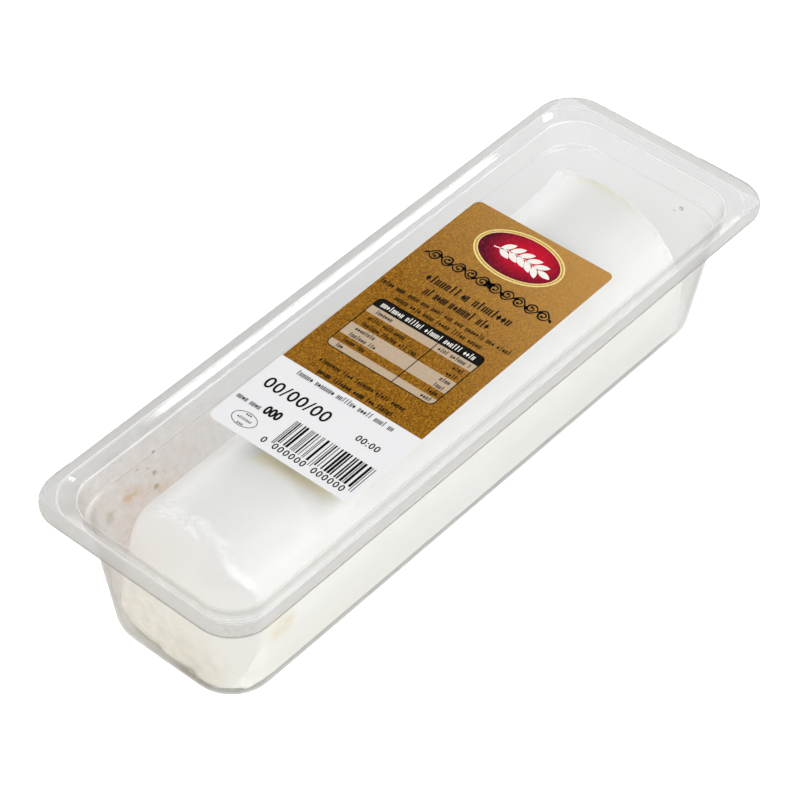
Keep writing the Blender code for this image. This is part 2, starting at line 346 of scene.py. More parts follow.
def trayProfile():
    # Stations (inset x, inset y, corner radius, drop) from the rim's edge to the middle of the floor
    floorDrop = rimTop - tray["sheet"]
    fillet = tray["footFillet"]
    weld, ledge, draft = tray["weldBand"], tray["ledgeEnd"], tray["mouthDraft"]
    shelf, foot = tray["shelfInset"], tray["footInset"]
    corners = np.array((
        (0.0, 0.0, tray["rimCorner"], 0.0),
        (*weld, tray["rimCorner"], 0.0),
        (weld[0] + tray["slopeRun"], weld[1] + tray["slopeRun"], tray["mouthCorner"], tray["ledgeDrop"]),
        (*ledge, tray["mouthCorner"], tray["ledgeDrop"]),
        (ledge[0] + draft[0], ledge[1] + draft[1], tray["mouthCorner"], tray["shelfDrop"]),
        (*shelf, tray["shelfCorner"], tray["shelfDrop"] + tray["shelfFall"]),
        (*foot, tray["footCorner"], floorDrop - fillet),
    ))
    arcSteps, runSteps, filletSteps, floorSteps = tray["profileSteps"]
    upper = softPath(corners, tray["softening"], arcSteps, runSteps)
    turn = np.linspace(0.0, math.pi / 2, filletSteps)[1:, None]
    curl = fillet * (1.0 - np.cos(turn))
    lower = np.hstack((
        foot[0] + curl, foot[1] + curl, tray["footCorner"] - tray["footCornerClosing"] * curl,
        floorDrop - fillet + fillet * np.sin(turn),
    ))
    toMiddle = trayHalf[1] - lower[-1, 1]
    across = np.linspace(0.0, 1.0, floorSteps)[1:, None]
    floor = lower[-1] + across * (toMiddle, toMiddle, -lower[-1, 2], 0.0)
    return np.concatenate((upper, lower, floor))


def foldHighlightMarks(profile, foldHighlights):
    # A painted highlight along a fold, standing in for the light its curve catches: strength
    # e^-((s - s0) / width)^2, s being the length along the profile
    run = np.cumsum(np.hypot(*np.diff(profile[:, [1, 3]], axis=0, prepend=profile[:1, [1, 3]]).T))
    mark = np.zeros(len(profile))
    for insetY, drop, strength, width in foldHighlights:
        nearest = np.argmin(np.hypot(profile[:, 1] - insetY, profile[:, 3] - drop))
        mark += strength * np.exp(-(((run - run[nearest]) / width) ** 2))
    return mark[:, None]


def makeTray():
    # The profile carried round the rim, with faint waves in the walls, then given its wall by Solidify
    profile = trayProfile()
    insetX, insetY, radius, drop = profile.T
    grid = ringGrid(ringShares(*tray["ringSteps"]), trayHalf[0] - insetX, trayHalf[1] - insetY,
                    np.maximum(radius, 0.0), rimTop - drop)
    fromSide = trayHalf - np.abs(grid[..., :2])
    inCorner = smoothStep(fromSide.max(axis=-1), *tray["cornerReach"])
    # Painted highlight along the folds and round the corners' shelf, varied at random
    paintedFoldHighlight = foldHighlightMarks(profile, tray["foldHighlights"]) + inCorner * foldHighlightMarks(profile, tray["cornerFoldHighlights"])
    mean, variation, size = tray["foldHighlightVariation"]
    paintedFoldHighlight = paintedFoldHighlight * (mean + variation * valueNoise(grid, size, 6))
    height, length = tray["wallWaves"]
    onWall = smoothStep(rimTop - tray["shelfDrop"] - grid[..., 2], *tray["wavesBelow"])
    wave = height * onWall * valueNoise(grid, length, 5)
    middle = np.linalg.norm(grid[..., :2], axis=-1, keepdims=True) + 1.0
    grid[..., :2] -= grid[..., :2] / middle * wave[..., None]
    mesh = gridMesh("clearTray", grid, marks={"paintedFoldHighlight": np.clip(paintedFoldHighlight, 0.0, 1.0)})
    piece = addPiece("clearTray", mesh, (sheetPlastic, cutEdge), "tray")
    wall = piece.modifiers.new("sheet", "SOLIDIFY")
    wall.thickness = tray["sheet"] * mm
    wall.offset = -1.0
    wall.use_even_offset = True
    wall.material_offset_rim = 1
    return piece


# The lidding film
film = {
    "thickness": 0.08,
    "aboveRim": 0.12,
    "bulge": 0.56,
    "bulgeRun": 13.0,
    "waves": (0.035, 21.0),     # height and length
    "wavesFrom": (1.0, 12.0),     # in from the weld, where they start and are whole
    "weldSoftness": 0.35,
    "edgeRun": 9.0,     # in from the edge, where the rings are dense
    "rings": (28, 40),
    "ringSteps": (16, 90, 30),
}


def makeFilm():
    # z = rim + a small gap + bulge (1 - e^(-2 (d / run)^2)) + slow waves, d being the distance in from the
    # weld
    edgeRun, (dense, wide) = film["edgeRun"], film["rings"]
    inset = np.concatenate((np.linspace(0.0, edgeRun, dense), np.linspace(edgeRun, trayHalf[1], wide)[1:]))
    radius = np.maximum(tray["rimCorner"] - inset, 0.0)
    grid = ringGrid(ringShares(*film["ringSteps"]), trayHalf[0] - inset, trayHalf[1] - inset, radius,
                    inset * 0.0)
    inside = np.maximum(inset - tray["weldBand"][0], 0.0)[:, None]
    height, length = film["waves"]
    rise = film["bulge"] * (1.0 - np.exp(-((inside / film["bulgeRun"]) ** 2) * 2.0))
    wave = height * valueNoise(grid, length, 11) * smoothStep(inside, *film["wavesFrom"])
    grid[..., 2] = rimTop + film["aboveRim"] + rise + wave
    x, y = np.abs(grid[..., 0]), np.abs(grid[..., 1])
    fromEdge = np.minimum(trayHalf[0] - x - tray["weldBand"][0], trayHalf[1] - y - tray["weldBand"][1])
    weld = 1.0 - smoothStep(fromEdge, -film["weldSoftness"], 0.0)
    mesh = gridMesh("liddingFilm", grid, marks={"weld": weld})
    piece = addPiece("liddingFilm", mesh, (filmPlastic, cutEdge), "lid_film")
    wall = piece.modifiers.new("film", "SOLIDIFY")
    wall.thickness = film["thickness"] * mm
    wall.offset = -1.0
    wall.material_offset_rim = 1
    return piece


sheetPlastic = clearPlastic("clear PET sheet, thermoformed", clearLooks["sheet"])
cutEdge = clearPlastic("clear PET sheet, sheared edge", clearLooks["edge"])
filmPlastic = clearPlastic("clear lidding film, heat welded", clearLooks["film"])
makeTray()
makeFilm()
print("tray and film made")


# The log of fresh cheese
log = {
    "gap": 0.3,
    "topClearance": 2.0,
    "middleY": -0.8,
    "halfWidth": 24.6,
    "yaw": 0.004,
    "waves": (0.35, 0.5, 0.25),     # size, and what of it is even and what each wave adds
    "waveLengths": (134.0, 56.0),
    "waveTurns": (2.0, -3.0),     # how often each goes round the log
    "squareness": {45.0: 0.15, 135.0: 0.45, 228.0: 5.0, 315.0: -0.3},
    "squarenessSpread": 36.0,
    "nearFoot": {"squareness": 7.0, "angle": 318.0, "spread": 34.0, "reach": 0.07},
    "nearEnd": -80.0,
    "nearLean": (0.05, 0.1, 0.0048),     # across, down and down squared
    "nearBulge": {"length": 3.8, "angle": 120.0, "spread": 19.0, "core": 0.1},
    "nearRound": 2.2,
    "farEnd": 80.6,
    "farLean": (0.13, 0.0, 0.0035),
    "farRound": 0.8,
    "lip": (1.2, 1.1),     # height and width
    "lipTears": ((0.5, 3.6), (0.25, 1.1)),     # depth and size
    "lipSteepness": 8,     # how fast the tears and the flake fade towards the end's middle
    "flare": {"height": 1.4, "start": 45.0, "angle": 29.0, "spread": 26.0},
    "flake": {"length": 4.0, "angle": 33.0, "spread": 8.0},
    "sides": 320,
    "capSteps": (32, 10),     # across the flat and round the edge
    "bodySteps": ((0.0, 0.055, 34), (0.055, 0.955, 140), (0.955, 1.0, 24)),     # from, to and how many
    "skinGrain": (0.035, 1.7),     # height and size
    "skinDents": (0.12, 9.0),
    "footCrumbs": (0.7, 3.0),
    "crumbsBelow": (16.0, 6.0),     # heights where they start and are whole, and places along the log
    "crumbsBeyond": (-76.0, -88.0),
}


def hill(angle, place, spread):
    # e^-((angle - place) / spread)^2, with place and spread in degrees
    return np.exp(-(((angle - math.radians(place)) / math.radians(spread)) ** 2))


def logStations():
    # (share of the section, share along, depth in from the near end, depth in from the far end)
    flatSteps, roundSteps = log["capSteps"]
    turn = np.linspace(0.0, math.pi / 2, roundSteps)

    def cap(radius):
        flat = (1.0 - radius / log["halfWidth"]) * np.sin(np.linspace(0.0, math.pi / 2, flatSteps + 1)[:-1])
        share = np.concatenate((flat, 1.0 - radius / log["halfWidth"] * (1.0 - np.sin(turn))))
        return share, np.concatenate((flat * 0.0, radius * (1.0 - np.cos(turn))))

    nearShare, nearDepth = cap(log["nearRound"])
    farShare, farDepth = cap(log["farRound"])
    body = np.concatenate([np.linspace(*part)[1:] for part in log["bodySteps"]])[:-1]
    zero, one = body * 0.0, body * 0.0 + 1.0
    rows = [np.column_stack((nearShare, nearShare * 0.0, nearDepth, nearShare * 0.0)),
            np.column_stack((one, body, zero + log["nearRound"], zero + log["farRound"])),
            np.column_stack((farShare, farShare * 0.0 + 1.0, farShare * 0.0, farDepth))[::-1]]
    return np.concatenate(rows)


def trayWall(drop):
    # Insets and corner radius of the tray's inner face at a drop below the rim
    fillet = tray["footFillet"]
    filletDrop = rimTop - tray["sheet"] - fillet
    share = np.clip((drop - tray["shelfDrop"]) / (filletDrop - tray["shelfDrop"]), 0.0, 1.0)
    depth = np.clip((drop - filletDrop) / fillet, 0.0, 1.0)
    curl = fillet * (1.0 - np.sqrt(1.0 - depth**2))
    insetX = tray["shelfInset"][0] + share * (tray["footInset"][0] - tray["shelfInset"][0]) + curl
    insetY = tray["shelfInset"][1] + share * (tray["footInset"][1] - tray["shelfInset"][1]) + curl
    radius = tray["shelfCorner"] + share * (tray["footCorner"] - tray["shelfCorner"])
    radius = radius - tray["footCornerClosing"] * curl
    above = drop < tray["shelfDrop"]
    mouthShare = np.clip(drop / tray["shelfDrop"], 0.0, 1.0)
    insetX = np.where(above, tray["ledgeEnd"][0] + mouthShare * tray["mouthDraft"][0], insetX)
    insetY = np.where(above, tray["ledgeEnd"][1] + mouthShare * tray["mouthDraft"][1], insetY)
    return insetX, insetY, np.where(above, tray["mouthCorner"], radius)


def keepInTray(x, y, z):
    # Points outside the tray's inner face come back to a gap's width inside it
    gap = log["gap"]
    z = np.maximum(z, tray["sheet"] + gap)
    insetX, insetY, radius = trayWall(rimTop - z + gap)
    flatX = trayHalf[0] - insetX - radius
    flatY = trayHalf[1] - insetY - radius
    overX = np.abs(x) - flatX
    overY = np.abs(y) - flatY
    reach = radius - gap
    inCorner = (overX > 0.0) & (overY > 0.0)
    pull = np.minimum(reach / np.maximum(np.hypot(overX, overY), 1e-9), 1.0)
    overX = np.where(inCorner, overX * pull, np.minimum(overX, reach))
    overY = np.where(inCorner, overY * pull, np.minimum(overY, reach))
    return np.copysign(flatX + overX, x), np.copysign(flatY + overY, y), z


def logGrid():
    # A superellipse section |y|^p + |z|^p = 1, p changing round it, carried from end to end; both ends
    # lean and bulge, the near foot fills the tray's corner, the far end flares to a thin torn lip
    share, along, nearDepth, farDepth = (column[:, None] for column in logStations().T)
    angle = np.linspace(0.0, 2.0 * math.pi, log["sides"], endpoint=False)[None, :]
    power = 2.0 + sum(amount * hill(angle, place, log["squarenessSpread"])
                      for place, amount in log["squareness"].items())
    foot = log["nearFoot"]
    power = power + (foot["squareness"] * hill(angle, foot["angle"], foot["spread"])
                     * np.exp(-((along / foot["reach"]) ** 2)))
    bottom, top = tray["sheet"] + log["gap"], rimTop - log["topClearance"]
    middleZ = (top + bottom) / 2
    cosine, sine = np.cos(angle), np.sin(angle)
    y = log["middleY"] + share * log["halfWidth"] * np.sign(cosine) * np.abs(cosine) ** (2.0 / power)
    z = middleZ + share * (top - bottom) / 2 * np.sign(sine) * np.abs(sine) ** (2.0 / power)
    down = top - z
    near = log["nearEnd"] + log["nearLean"][0] * y - log["nearLean"][1] * down - log["nearLean"][2] * down**2
    far = log["farEnd"] + log["farLean"][0] * y + log["farLean"][1] * down + log["farLean"][2] * down**2
    bulge, flake = log["nearBulge"], log["flake"]
    swollen = smoothStep(share, bulge["core"], 1.0) * hill(angle, bulge["angle"], bulge["spread"])
    near = near - bulge["length"] * swollen
    rim = log["halfWidth"] * np.stack((cosine, sine, angle * 0.0), axis=-1)
    torn = sum(depth * valueNoise(rim, size, 23) for depth, size in log["lipTears"])
    torn = torn + flake["length"] * hill(angle, flake["angle"], flake["spread"])
    far = far + share ** log["lipSteepness"] * torn
    x = near + nearDepth + along * (far - farDepth - near - nearDepth)

    size, even, each = log["waves"]
    wave = sum(np.sin(2.0 * math.pi * x / length + turns * angle)
               for length, turns in zip(log["waveLengths"], log["waveTurns"]))
    flare = log["flare"]
    rise = np.clip((x - flare["start"]) / (log["farEnd"] - flare["start"]), 0.0, 1.0) ** 2
    height = flare["height"] * rise * hill(angle, flare["angle"], flare["spread"])
    height = height + log["lip"][0] * np.exp(-(((far - x) / log["lip"][1]) ** 2))
    height = height - size * (even + each * wave)
    swell = 1.0 + height / log["halfWidth"]
    y = log["middleY"] + swell * (y - log["middleY"]) + log["yaw"] * x
    z = middleZ + swell * (z - middleZ)
    return np.stack(keepInTray(x, y, z), axis=-1)


def outward(grid):
    # Unit normals of the grid, from the cross product of its two tangents
    along = np.gradient(grid, axis=0)
    padded = np.concatenate((grid[:, -1:], grid, grid[:, :1]), axis=1)
    around = (padded[:, 2:] - padded[:, :-2]) / 2
    normal = np.cross(around, along)
    return normal / np.maximum(np.linalg.norm(normal, axis=-1, keepdims=True), 1e-9)


# Torn skin along the near end's rounded edge, and scratches: height, width and a line of points, each
# an angle round the log and a way back from that edge, less than 0 on the end face
tears = {
    "lines": (
        (0.50, 0.28, ((57.0, -1.0), (60.0, -0.8), (65.0, -1.2), (69.0, -1.0), (73.0, -1.6))),
        (0.35, 0.30, ((46.0, -3.1), (52.0, -3.5), (60.0, -3.4), (67.5, -3.4))),
        (0.50, 0.32, ((69.0, -4.6), (75.4, -4.8), (80.0, -3.4), (85.5, -1.9))),
        (0.25, 0.60, ((73.0, -5.8), (77.0, -5.4), (81.0, -4.8), (84.0, -6.6))),
        (0.20, 0.25, ((85.5, -1.5), (90.0, -1.2), (95.6, -1.5), (99.0, -1.9), (104.6, -1.9), (110.2, -1.5))),
        (0.14, 0.25, ((110.2, -1.5), (117.0, -1.5), (121.5, -1.5), (126.0, -1.9), (131.6, -2.3),
                      (139.5, -2.7))),
        (0.20, 0.25, ((99.0, -1.9), (103.0, -0.6), (107.0, 0.4))),
        (-0.35, 0.25, ((78.8, -1.5), (78.8, -2.8))),
        (-0.12, 0.30, ((88.0, 16.3), (85.0, 14.0), (84.0, 11.6))),
        (-0.12, 0.30, ((96.0, 12.8), (94.5, 9.5))),
        (-0.12, 0.30, ((70.0, 6.5), (73.0, 3.0))),
    ),
    "groove": (0.5, 2.2),     # beside each ridge: depth over its height, and place over its width
    "ragged": 0.9,
    "raggedSize": 0.8,
    "frayed": 1.1,     # how far the skin is frayed beside a tear, and how deep and coarse
    "frayDepth": 0.22,
    "fraySize": 1.7,
    # the far lip's edge and flank are frayed, and whitened there as a painted highlight
    "farEdge": (0.7, 0.9),     # strength and width along the far lip
    "farEdgeAbove": (0.45, 0.6),     # shares of the rim's height where that starts and is whole
    "farFlank": {"strength": 0.8, "from": 34.0, "to": 58.0, "angle": 34.0, "spread": 20.0},
}

# Curd yellowed by whey beside the label, by a painted shade inside the far lip, and low at the near end
whey = {
    "line": ((-53.6, 3.4), (-52.6, -7.9), (-50.6, -14.2)),
    "lineWidth": 2.1,
    "lineStrength": 0.85,
    # painted shade: a tan band in the groove just inside the far lip
    "lip": {"in": 2.0, "width": 1.2, "strength": 0.3},
    "above": (0.6, 0.8),     # shares of the rim's height where both start and are whole
    # yellower low down towards the near end
    "low": {"lean": 0.35, "from": -8.0, "to": 26.0, "strength": 0.16},
}


def lineDistance(points, ends):
    # Distance from each point to the nearest of the segments a to b: |p - a - t (b - a)|, t held to 0..1
    nearest = np.full(points.shape[:-1], np.inf)
    for start, end in zip(ends, ends[1:]):
        run = end - start
        share = np.clip(((points - start) @ run) / (run @ run), 0.0, 1.0)
        gap = np.linalg.norm(points - start - share[..., None] * run, axis=-1)
        nearest = np.minimum(nearest, gap)
    return nearest


def tearRelief(grid):
    # Height h (e^-g^2 - d e^-(g - p)^2), g being the distance to a line over its width and d, p the depth
    # and place of the groove beside it; also the distance to the nearest raised line
    depth, place = tears["groove"]
    steps = np.linalg.norm(np.diff(grid, axis=0, prepend=grid[:1]), axis=-1)
    way = np.cumsum(steps, axis=0)
    way -= way[sum(log["capSteps"]) - 1]
    relief = np.zeros(grid.shape[:2])
    nearest = np.full(grid.shape[:2], np.inf)
    for height, width, points in tears["lines"]:
        angle, back = np.array(points).T
        column = np.round(angle / 360.0 * log["sides"]).astype(int)
        row = np.argmin(np.abs(way[:, column] - back), axis=0)
        gap = lineDistance(grid, grid[row, column])
        relief += height * (np.exp(-((gap / width) ** 2)) - depth * np.exp(-((gap / width - place) ** 2)))
        if height > 0.0:
            nearest = np.minimum(nearest, gap)
    return relief * (1.0 + tears["ragged"] * valueNoise(grid, tears["raggedSize"], 27)), nearest


def wheyAndShadeShare(grid):
    # The share of yellowing at each grid point, from 0 to 1: whey, and a painted shade inside the far lip
    x, z = grid[..., 0], grid[..., 2]
    line = np.insert(np.array(whey["line"]), 2, 0.0, axis=1)
    beside = np.exp(-((lineDistance(grid * (1.0, 1.0, 0.0), line) / whey["lineWidth"]) ** 2))
    upper = smoothStep(z / rimTop, *whey["above"])
    lip, low = whey["lip"], whey["low"]
    fromLip = grid[..., 0].max(axis=0) - x
    groove = np.exp(-(((fromLip - lip["in"]) / lip["width"]) ** 2))
    sunk = smoothStep(-low["lean"] * x - z, low["from"], low["to"])
    return np.clip(whey["lineStrength"] * beside * upper + lip["strength"] * groove * upper
                   + low["strength"] * sunk, 0.0, 1.0)


def frayAndHighlightShare(grid, tearGap):
    # Fray and painted highlight at each grid point: beside the tears, along the far lip and on the far flank
    x, y, z = np.moveaxis(grid, -1, 0)
    strength, width = tears["farEdge"]
    upper = smoothStep(z / rimTop, *tears["farEdgeAbove"])
    farEdge = strength * upper * np.exp(-(((x.max(axis=0) - x) / width) ** 2))
    flank = tears["farFlank"]
    angle = np.arctan2(z - rimTop / 2, y - log["middleY"])
    farFlank = smoothStep(x, flank["from"], flank["to"]) * hill(angle, flank["angle"], flank["spread"])
    farFlank *= flank["strength"]
    return np.clip(np.exp(-((tearGap / tears["frayed"]) ** 2)) + farEdge + farFlank, 0.0, 1.0)


def makeLog():
    # Grain, dents, torn ridges and scratches stand out from the grid along its normals
    grid = logGrid()
    normal = outward(grid)
    grain, grainSize = log["skinGrain"]
    dent, dentSize = log["skinDents"]
    crumb, crumbSize = log["footCrumbs"]
    atFoot = smoothStep(grid[..., 2], *log["crumbsBelow"]) * smoothStep(grid[..., 0], *log["crumbsBeyond"])
    height = grain * valueNoise(grid, grainSize, 21) + dent * valueNoise(grid, dentSize, 22)
    height += crumb * atFoot * (valueNoise(grid, crumbSize, 25) - 0.5)
    relief, tearGap = tearRelief(grid)
    torn = frayAndHighlightShare(grid, tearGap)
    height += relief + tears["frayDepth"] * torn * valueNoise(grid, tears["fraySize"], 26)
    moved = grid + normal * height[..., None]
    moved = np.stack(keepInTray(*np.moveaxis(moved, -1, 0)), axis=-1)
    moved[0] = moved[0].mean(axis=0)
    moved[-1] = moved[-1].mean(axis=0)
    mesh = gridMesh("goatCheese", moved, closed=True, marks={"whey": wheyAndShadeShare(moved), "torn": torn})
    return addPiece("goatCheese", mesh, (freshCheese,), "cheese_log")


cheeseLook = {
    "curd": "#f0f0ee",
    "cream": "#edece8",
    # also the tan of the painted shade inside the far lip
    "whey": "#f3eac2",
    # torn skin drawn pure white: partly the curd's own colour, partly a painted highlight on the ridges
    "torn": "#ffffff",
    "patchSize": 26.0,
    "grainSize": 0.7,
    "grainDepth": 0.07,
    "fraySize": 0.55,
    "frayDepth": 0.3,
}


def freshCheeseMaterial():
    # Fresh goat curd: white, wet, smooth where the wrapper pressed it; light sinks in a few millimetres,
    # whey yellows it where it gathers, and a painted shade tans it inside the far lip
    material = newMaterial("fresh goat curd, moulded and drained")
    place = addNode(material, "TexCoord").outputs["Object"]
    patches = addNode(material, "TexNoise", {"Scale": 1 / (cheeseLook["patchSize"] * mm), "Detail": 3.0},
                      {"Vector": place})
    patchShare = addNode(material, "MapRange", {"From Min": 0.45, "From Max": 0.75},
                         {"Value": patches.outputs["Fac"]})
    base = addNode(material, "Mix",
                   {"data_type": "RGBA", 6: linear(cheeseLook["curd"]), 7: linear(cheeseLook["cream"])},
                   {0: patchShare.outputs[0]})
    # Whey mark: whey beside the label, and the painted shade inside the far lip
    gathered = addNode(material, "Attribute", {"attribute_name": "whey"})
    yellowed = addNode(material, "Mix", {"data_type": "RGBA", 7: linear(cheeseLook["whey"])},
                       {0: gathered.outputs["Fac"], 6: base.outputs[2]})
    # Torn skin mixed to pure white: partly the fresh curd's own colour, partly a painted highlight
    torn = addNode(material, "Attribute", {"attribute_name": "torn"})
    colour = addNode(material, "Mix", {"data_type": "RGBA", 7: linear(cheeseLook["torn"])},
                     {0: torn.outputs["Fac"], 6: yellowed.outputs[2]})
    grain = addNode(material, "TexNoise", {"Scale": 1 / (cheeseLook["grainSize"] * mm), "Detail": 4.0,
                                           "Roughness": 0.6}, {"Vector": place})
    frayed = addNode(material, "TexNoise", {"Scale": 1 / (cheeseLook["fraySize"] * mm), "Detail": 3.0},
                     {"Vector": place})
    flakes = addNode(material, "Math", {"operation": "MULTIPLY"},
                     {0: frayed.outputs["Fac"], 1: torn.outputs["Fac"]})
    height = addNode(material, "Math", {
        "operation": "MULTIPLY_ADD", 1: cheeseLook["frayDepth"] / cheeseLook["grainDepth"],
    }, {0: flakes.outputs[0], 2: grain.outputs["Fac"]})
    bump = addNode(material, "Bump", {"Strength": 1.0, "Distance": cheeseLook["grainDepth"] * mm},
                   {"Height": height.outputs[0]})
    wet = addNode(material, "MapRange", {"From Min": 0.3, "From Max": 0.7, "To Min": 0.36, "To Max": 0.52},
                  {"Value": patches.outputs["Fac"]})
    shader = addNode(material, "BsdfPrincipled", {
        "IOR": 1.45, "Subsurface Weight": 0.35, "Subsurface Radius": (1.0, 0.97, 0.93),
        "Subsurface Scale": 1.5 * mm, "Coat Weight": 0.15, "Coat Roughness": 0.25,
    }, {"Base Color": colour.outputs[2], "Roughness": wet.outputs[0], "Normal": bump.outputs[0]})
    addNode(material, "OutputMaterial", links={"Surface": shader.outputs[0]})
    return material


droplets = {     # drops of whey on the walls' inner faces: (place along the wall, height, radius)
    "back": ((-66.9, 37.0, 0.6), (-67.9, 31.1, 0.75), (-68.2, 27.0, 0.8), (-69.6, 33.6, 0.3),
             (-64.8, 29.4, 0.3), (-73.0, 35.5, 0.3), (-88.0, 33.4, 0.35)),
    "far": ((-11.6, 32.8, 0.7), (-9.4, 31.0, 0.3)),
    "flatness": 0.45,
    "sunk": 0.02,
    "steps": (9, 20),     # from the top down and round
}
wallWays = {"back": ((1.0, 0.0, 0.0), (0.0, -1.0, 0.0)), "far": ((0.0, 1.0, 0.0), (-1.0, 0.0, 0.0))}


def dropletGrid(centre, along, inwards, radius):
    # A flat dome: (r cos t, r sin t, f sqrt(R^2 - r^2)), closed by its base just inside the wall's face
    down, around = droplets["steps"]
    ring = np.linspace(0.0, math.pi / 2, down)[:, None, None]
    turn = np.linspace(0.0, 2.0 * math.pi, around, endpoint=False)[None, :, None]
    up = np.array((0.0, 0.0, 1.0))
    flat = radius * np.sin(ring) * (np.cos(turn) * along + np.sin(turn) * up)
    dome = centre + flat + droplets["flatness"] * radius * np.cos(ring) * inwards
    base = centre - droplets["sunk"] * inwards + dome[-1:] * 0.0
    return np.concatenate((dome, base))


def makeDroplets():
    # wallWays gives each wall's directions, along it and inwards
    parts = []
    for wall, ways in wallWays.items():
        along, inwards = np.array(ways)
        for place, height, radius in droplets[wall]:
            insetX, insetY, _ = trayWall(np.array(rimTop - height))
            face = -inwards * (trayHalf[0] - insetX if wall == "far" else trayHalf[1] - insetY)
            centre = face + along * place + (0.0, 0.0, height)
            parts.append(dropletGrid(centre, along, inwards, radius))
    points = np.concatenate([part.reshape(-1, 3) for part in parts])
    rows, count = parts[0].shape[:2]
    faces = gridFaces(rows, count, False, True)[None] + (np.arange(len(parts)) * rows * count)[:, None, None]
    mesh = finishMesh("wheyDroplets", points, faces.reshape(-1, 4).tolist(), True)
    addPiece("wheyDroplets", mesh, (clearWhey,))


freshCheese = freshCheeseMaterial()
clearWhey = clearPlastic("whey droplets", clearLooks["droplet"])
makeLog()
makeDroplets()
print("cheese log and droplets made")


# The label, in its own millimetres: u along the log, v across it, both from its middle
label = {
    "centre": (-1.1, -0.6),
    "turn": math.radians(0.84),
    "length": 105.9,
    "width": 46.2,
    "corner": 2.2,
    "paperTop": 0.06,
    "inkStep": 0.02,
    "goldFrom": -25.0,
}


def onLabel(points, height):
    # u, v turned and moved onto the film, at a height above the label's underside
    cosine, sine = math.cos(label["turn"]), math.sin(label["turn"])
    u, v = points[..., 0], points[..., 1]
    x = label["centre"][0] + cosine * u - sine * v
    y = label["centre"][1] + sine * u + cosine * v
    return np.stack(np.broadcast_arrays(x, y, labelLow[2] + height), axis=-1)


def inkTop(layer):
    return label["paperTop"] + layer * label["inkStep"]


def slabSet(outlines, low, high):
    # outlines[shape, point] become thin closed slabs: two fans from the shape's middle and a side wall
    shapes, count = outlines.shape[:2]
    middle = outlines.mean(axis=1, keepdims=True)
    flat = np.concatenate((outlines, middle), axis=1)
    points = np.stack((onLabel(flat, high), onLabel(flat, low)), axis=1).reshape(-1, 3)
    here = np.arange(count)
    ahead = (here + 1) % count
    start = (np.arange(shapes) * 2 * (count + 1))[:, None]
    under = start + count + 1
    sides = np.stack((start + here, under + here, under + ahead, start + ahead), axis=-1).reshape(-1, 4)
    upper = np.stack((start + here, start + ahead, start + count + here * 0), axis=-1).reshape(-1, 3)
    lower = np.stack((under + ahead, under + here, under + count + here * 0), axis=-1).reshape(-1, 3)
    return points, sides.tolist() + upper.tolist() + lower.tolist()


def addPrint(name, parts, material):
    # Joins slabs into one printed piece
    points, faces, offset = [], [], 0
    for partPoints, partFaces in parts:
        points.append(partPoints)
        faces += [[index + offset for index in face] for face in partFaces]
        offset += len(partPoints)
    mesh = finishMesh(name, np.concatenate(points), faces, True)
    return addPiece(name, mesh, (material,), sharp=30.0)


def roundedOutline(u0, u1, v0, v1, radius, steps=6):
    # A rectangle with quarter-circle corners, as one outline in u, v
    shares = ringShares(steps, 1, 1)
    ring = ringGrid(shares, [(u1 - u0) / 2], [(v1 - v0) / 2], [radius], [0.0])[0, :, :2]
    return ring + ((u0 + u1) / 2, (v0 + v1) / 2)


def ovalOutline(centre, half, count=96):
    turn = np.linspace(0.0, 2.0 * math.pi, count, endpoint=False)
    return np.stack((centre[0] + half[0] * np.cos(turn), centre[1] + half[1] * np.sin(turn)), axis=-1)


def boxOutlines(u0, u1, v0, v1):
    # Arrays of rectangles
    u0, u1, v0, v1 = np.broadcast_arrays(u0, u1, v0, v1)
    corners = ((u0, v0), (u0, v1), (u1, v1), (u1, v0))
    return np.stack([np.stack(corner, axis=-1) for corner in corners], axis=1)


def ringSet(outer, inner, low, high):
    # outer[shape, point] and inner[shape, point] become thin closed bands
    shapes, count = outer.shape[:2]
    sides = ((outer, high), (inner, high), (inner, low), (outer, low))
    rows = np.stack([onLabel(outline, height) for outline, height in sides], axis=1)
    start = np.arange(shapes)[:, None, None] * 4 * count
    faces = gridFaces(4, count, True, True)[None] + start
    return rows.reshape(-1, 3), faces.reshape(-1, 4).tolist()


def penStroke(path, halfWidth, low, high):
    # A ribbon along a path: P +- w n, n being the path's unit normal, drawn to a point at both ends
    run = np.gradient(path, axis=0)
    side = np.stack((-run[:, 1], run[:, 0]), axis=-1)
    side = side / np.maximum(np.linalg.norm(side, axis=1, keepdims=True), 1e-9) * halfWidth[:, None]
    rows = np.stack((onLabel(path + side, high), onLabel(path - side, high),
                     onLabel(path - side, low), onLabel(path + side, low)), axis=1)
    middle = (low + high) / 2
    ends = [np.repeat(onLabel(path[[i]], middle), 4, axis=0)[None] for i in (0, -1)]
    rows = np.concatenate((ends[0], rows, ends[1]))
    return rows.reshape(-1, 3), gridFaces(rows.shape[0], 4, False, True).tolist()


def speckled(material, place, size, low, high, dark, light, base=None):
    # Noise of a grain's size between two colours, or between a colour and one worked out before
    speck = addNode(material, "TexNoise", {"Scale": 1 / (size * mm), "Detail": 2.0, "Roughness": 0.7},
                    {"Vector": place})
    share = addNode(material, "MapRange", {"From Min": low, "From Max": high},
                    {"Value": speck.outputs["Fac"]})
    tint = addNode(material, "Mix", {"data_type": "RGBA", 6: linear(dark), 7: linear(light)},
                   {0: share.outputs[0]})
    if base is not None:
        material.node_tree.links.new(base, tint.inputs[6])
    return speck.outputs["Fac"], tint.outputs[2]


